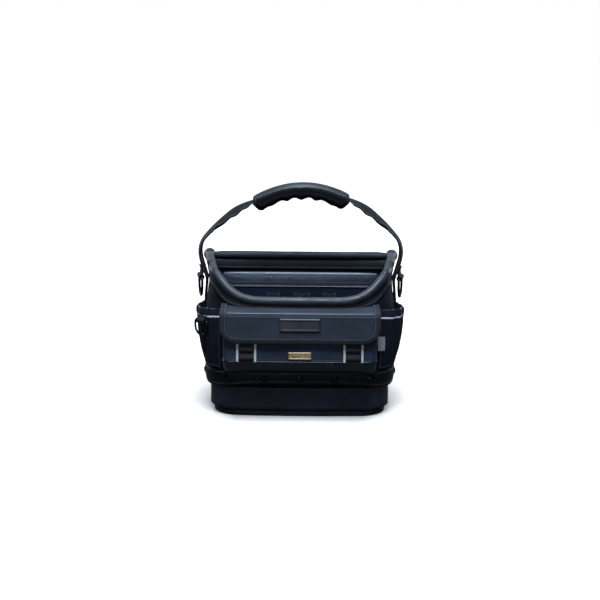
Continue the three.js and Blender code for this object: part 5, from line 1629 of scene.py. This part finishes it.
panel_sides = np.linspace(0, 0.375, 22, endpoint=False), np.linspace(0.63, 1, 22)
across_panel = np.concatenate([panel_sides[0], np.linspace(0.375, 0.625, 60), panel_sides[1]])
panel_rows = [panel_row(z, 0.0) for z in np.linspace(DIVIDER["low"], PANEL["top"], 46)]
panel = cloth_sheet("tool_panel_cloth", panel_rows, (0, 0.1, 0.1), 0.0021)
done(panel, "tote", "body_nylon", INNER_CLOTH, "tool_panel")
tape = [
    (0.2040, 0.0003), (0.2042, 0.0011), (0.2075, 0.0014), (0.2110, 0.0011), (0.2122, 0.0),
    (0.2114, -0.0018), (0.205, -0.0026),
]
tape_rows = [panel_row(z, lift) for z, lift in tape]
edge_tape = cloth_sheet("tool_panel_tape", tape_rows, (0, 0.1, 0.1), 0.0005)
done(edge_tape, "tote", "webbing", TAPE_EDGE, "tool_panel_binding")
panel_run = float(np.linalg.norm(np.diff(panel_row(0.1, 0.0), axis=0), axis=1).sum())
piping = thin_cord("tool_panel_piping", panel_row(0.2036, 0.0009), 0.0008, "webbing", SATIN_CORD_HIGHLIGHT)
seam(panel_row(0.2060, 0.0013))
TOOL_LOOPS = (("left", -0.04712, 0.014), ("middle", 0.00248, 0.019), ("right", 0.05084, 0.014))
LOOP_SPAN, LOOP_SEAM = (0.152, 0.193), (0.154, 0.191)
for name, middle, width in TOOL_LOOPS:
    turn = np.pi * (1 - np.linspace(0, 1, 27))
    rise = np.maximum(np.sin(turn), 0) ** 0.8 * 0.013 + 0.002
    x = middle + np.cos(turn) * (width / 2)
    x = np.concatenate([[x[0] - 0.005, x[0] - 0.0025], x, [x[-1] + 0.0025, x[-1] + 0.005]])
    rise = np.concatenate([[0.002, 0.002], rise, [0.002, 0.002]])
    rows = [points_at(x, panel_front - 0.0005 - rise, z) for z in np.linspace(*LOOP_SPAN, 9)]
    loop = cloth_sheet("web_tool_loop_" + name, rows, (middle, 0.1, 0.17), 0.0019)
    done(loop, "tote", "webbing", WEB, "tool_loop_" + name)
    for foot in (x[1] - 0.0008, x[-2] + 0.0008):
        seam(points_at(foot, panel_front - 0.0027, np.linspace(*LOOP_SEAM, 20)))
print("inside done")

# %% [markdown]
# ## Sewing it all
#
# The rows noted along the way are now sewn in one go. Each row is one spline, and the stitch tree turns
# them into thread.

# %% All the stitches


def sewn(name, rows, body, **sizes):
    curve = bpy.data.curves.new(name, "CURVE")
    curve.dimensions = "3D"
    for row in rows:
        spline = curve.splines.new("POLY")
        spline.points.add(len(row) - 1)
        spline.points.foreach_set("co", np.column_stack([row, np.ones(len(row))]).astype(np.float32).ravel())
    piece = grown(new_object(name, curve), STITCHES, name, **sizes)
    return done(piece, body, "webbing", None)


stitches = sewn("seam_stitches", seams["tote"], "tote", Pitch=0.0034, Length=0.0026, Thickness=0.0009)
print("stitches:", len(stitches.data.polygons) // 24)

# %% [markdown]
# ## Light, floor and camera
#
# The picture is a plain product shot: a white room, soft light mostly from above with weak lamps in front
# and behind, and a long lens a little above the tote. The floor is a pale sheet that the tote only shades
# lightly.

# %% Camera
scene = bpy.context.scene
AIM_HEIGHT, DISTANCE, ELEVATION, ROLL = 0.1803, 2.3, math.radians(12.2), math.radians(0.5)
LENS, SENSOR, SHIFT = 78.86, 36, -0.0005
camera = bpy.data.objects.new("camera", bpy.data.cameras.new("camera"))
scene.collection.objects.link(camera)
camera.location = (0, -DISTANCE * math.cos(ELEVATION), AIM_HEIGHT + DISTANCE * math.sin(ELEVATION))
camera.rotation_mode = "QUATERNION"
look = (Vector((0, 0, AIM_HEIGHT)) - camera.location).to_track_quat("-Z", "Y")
camera.rotation_quaternion = look @ Quaternion((0, 0, 1), ROLL)
camera.data.lens, camera.data.sensor_width = LENS, SENSOR
camera.data.shift_x = SHIFT
camera.data.clip_end = 20
scene.camera = camera
print("camera at", [round(v, 3) for v in camera.location])


# %% Lights, room and floor
def lamp(name, place, aim, size, power, colour=(1, 1, 1)):
    light = bpy.data.lights.new(name, "AREA")
    light.shape, light.energy, light.color = "RECTANGLE", power, colour
    light.size, light.size_y = size
    holder = bpy.data.objects.new(name, light)
    scene.collection.objects.link(holder)
    holder.location = place
    holder.rotation_mode = "QUATERNION"
    holder.rotation_quaternion = (Vector(aim) - Vector(place)).to_track_quat("-Z", "Y")
    holder.visible_camera = False
    return holder


lamp("overhead", (0, -0.75, 1.75), (0, 0, 0.12), (0.9, 0.9), 62, (0.74, 0.87, 1.0))
lamp("top", (0, 0.3, 1.6), (0, 0, 0.15), (0.7, 0.6), 12, (0.74, 0.87, 1.0))
lamp("backdrop", (0, 2.2, 0.9), (0, 0, 0.2), (2.0, 0.8), 6, (0.80, 0.90, 1.0))
lamp("front", (-0.3, -2.6, 0.9), (0, 0, 0.12), (0.7, 0.7), 8, (0.85, 0.92, 1.0))
for side in (-1, 1):
    lamp(f"back fill {side}", (side * 1.6, 1.7, 0.9), (0, 0, 0.15), (0.8, 0.8), 15, (0.85, 0.92, 1.0))
world = bpy.data.worlds.new("white room")
world.use_nodes = True
sky = world.node_tree.nodes["Background"]
sky.inputs["Color"].default_value = (1, 1, 1, 1)
seen = world.node_tree.nodes.new("ShaderNodeLightPath")
level = world.node_tree.nodes.new("ShaderNodeMapRange")
level.inputs["To Min"].default_value, level.inputs["To Max"].default_value = 0.02, 1.0
world.node_tree.links.new(seen.outputs["Is Camera Ray"], level.inputs["Value"])
world.node_tree.links.new(level.outputs[0], sky.inputs["Strength"])
scene.world = world
floor_mesh = bpy.data.meshes.new("floor")
floor_mesh.from_pydata([(-6, -6, 0), (6, -6, 0), (6, 6, 0), (-6, 6, 0)], [], [(0, 1, 2, 3)])
floor = new_object("floor", floor_mesh)
PALE = material("pale floor", (0.86, 0.86, 0.87), 0.7, Specular_IOR_Level=0.2)
PALE.node_tree.nodes["Principled BSDF"].inputs["Emission Color"].default_value = (1, 1, 1, 1)
pale = Wiring(PALE)
seen = pale.node("ShaderNodeLightPath").outputs["Is Camera Ray"]
pale.paint(pale.tint(seen, (0.06, 0.06, 0.06), (0.90, 0.82, 0.76)))
reach = pale.node("ShaderNodeVectorMath", operation="LENGTH")
pale.link(pale.place(False, 1.0), reach.inputs[0])
glow = pale.sum("ADD", pale.sum("MULTIPLY", reach.outputs["Value"], 0.9), 0.05, clamp=True)
pale.link(pale.sum("MULTIPLY", glow, seen), pale.shader.inputs["Emission Strength"])
floor.data.materials.append(PALE)
scene.view_settings.view_transform = "Standard"
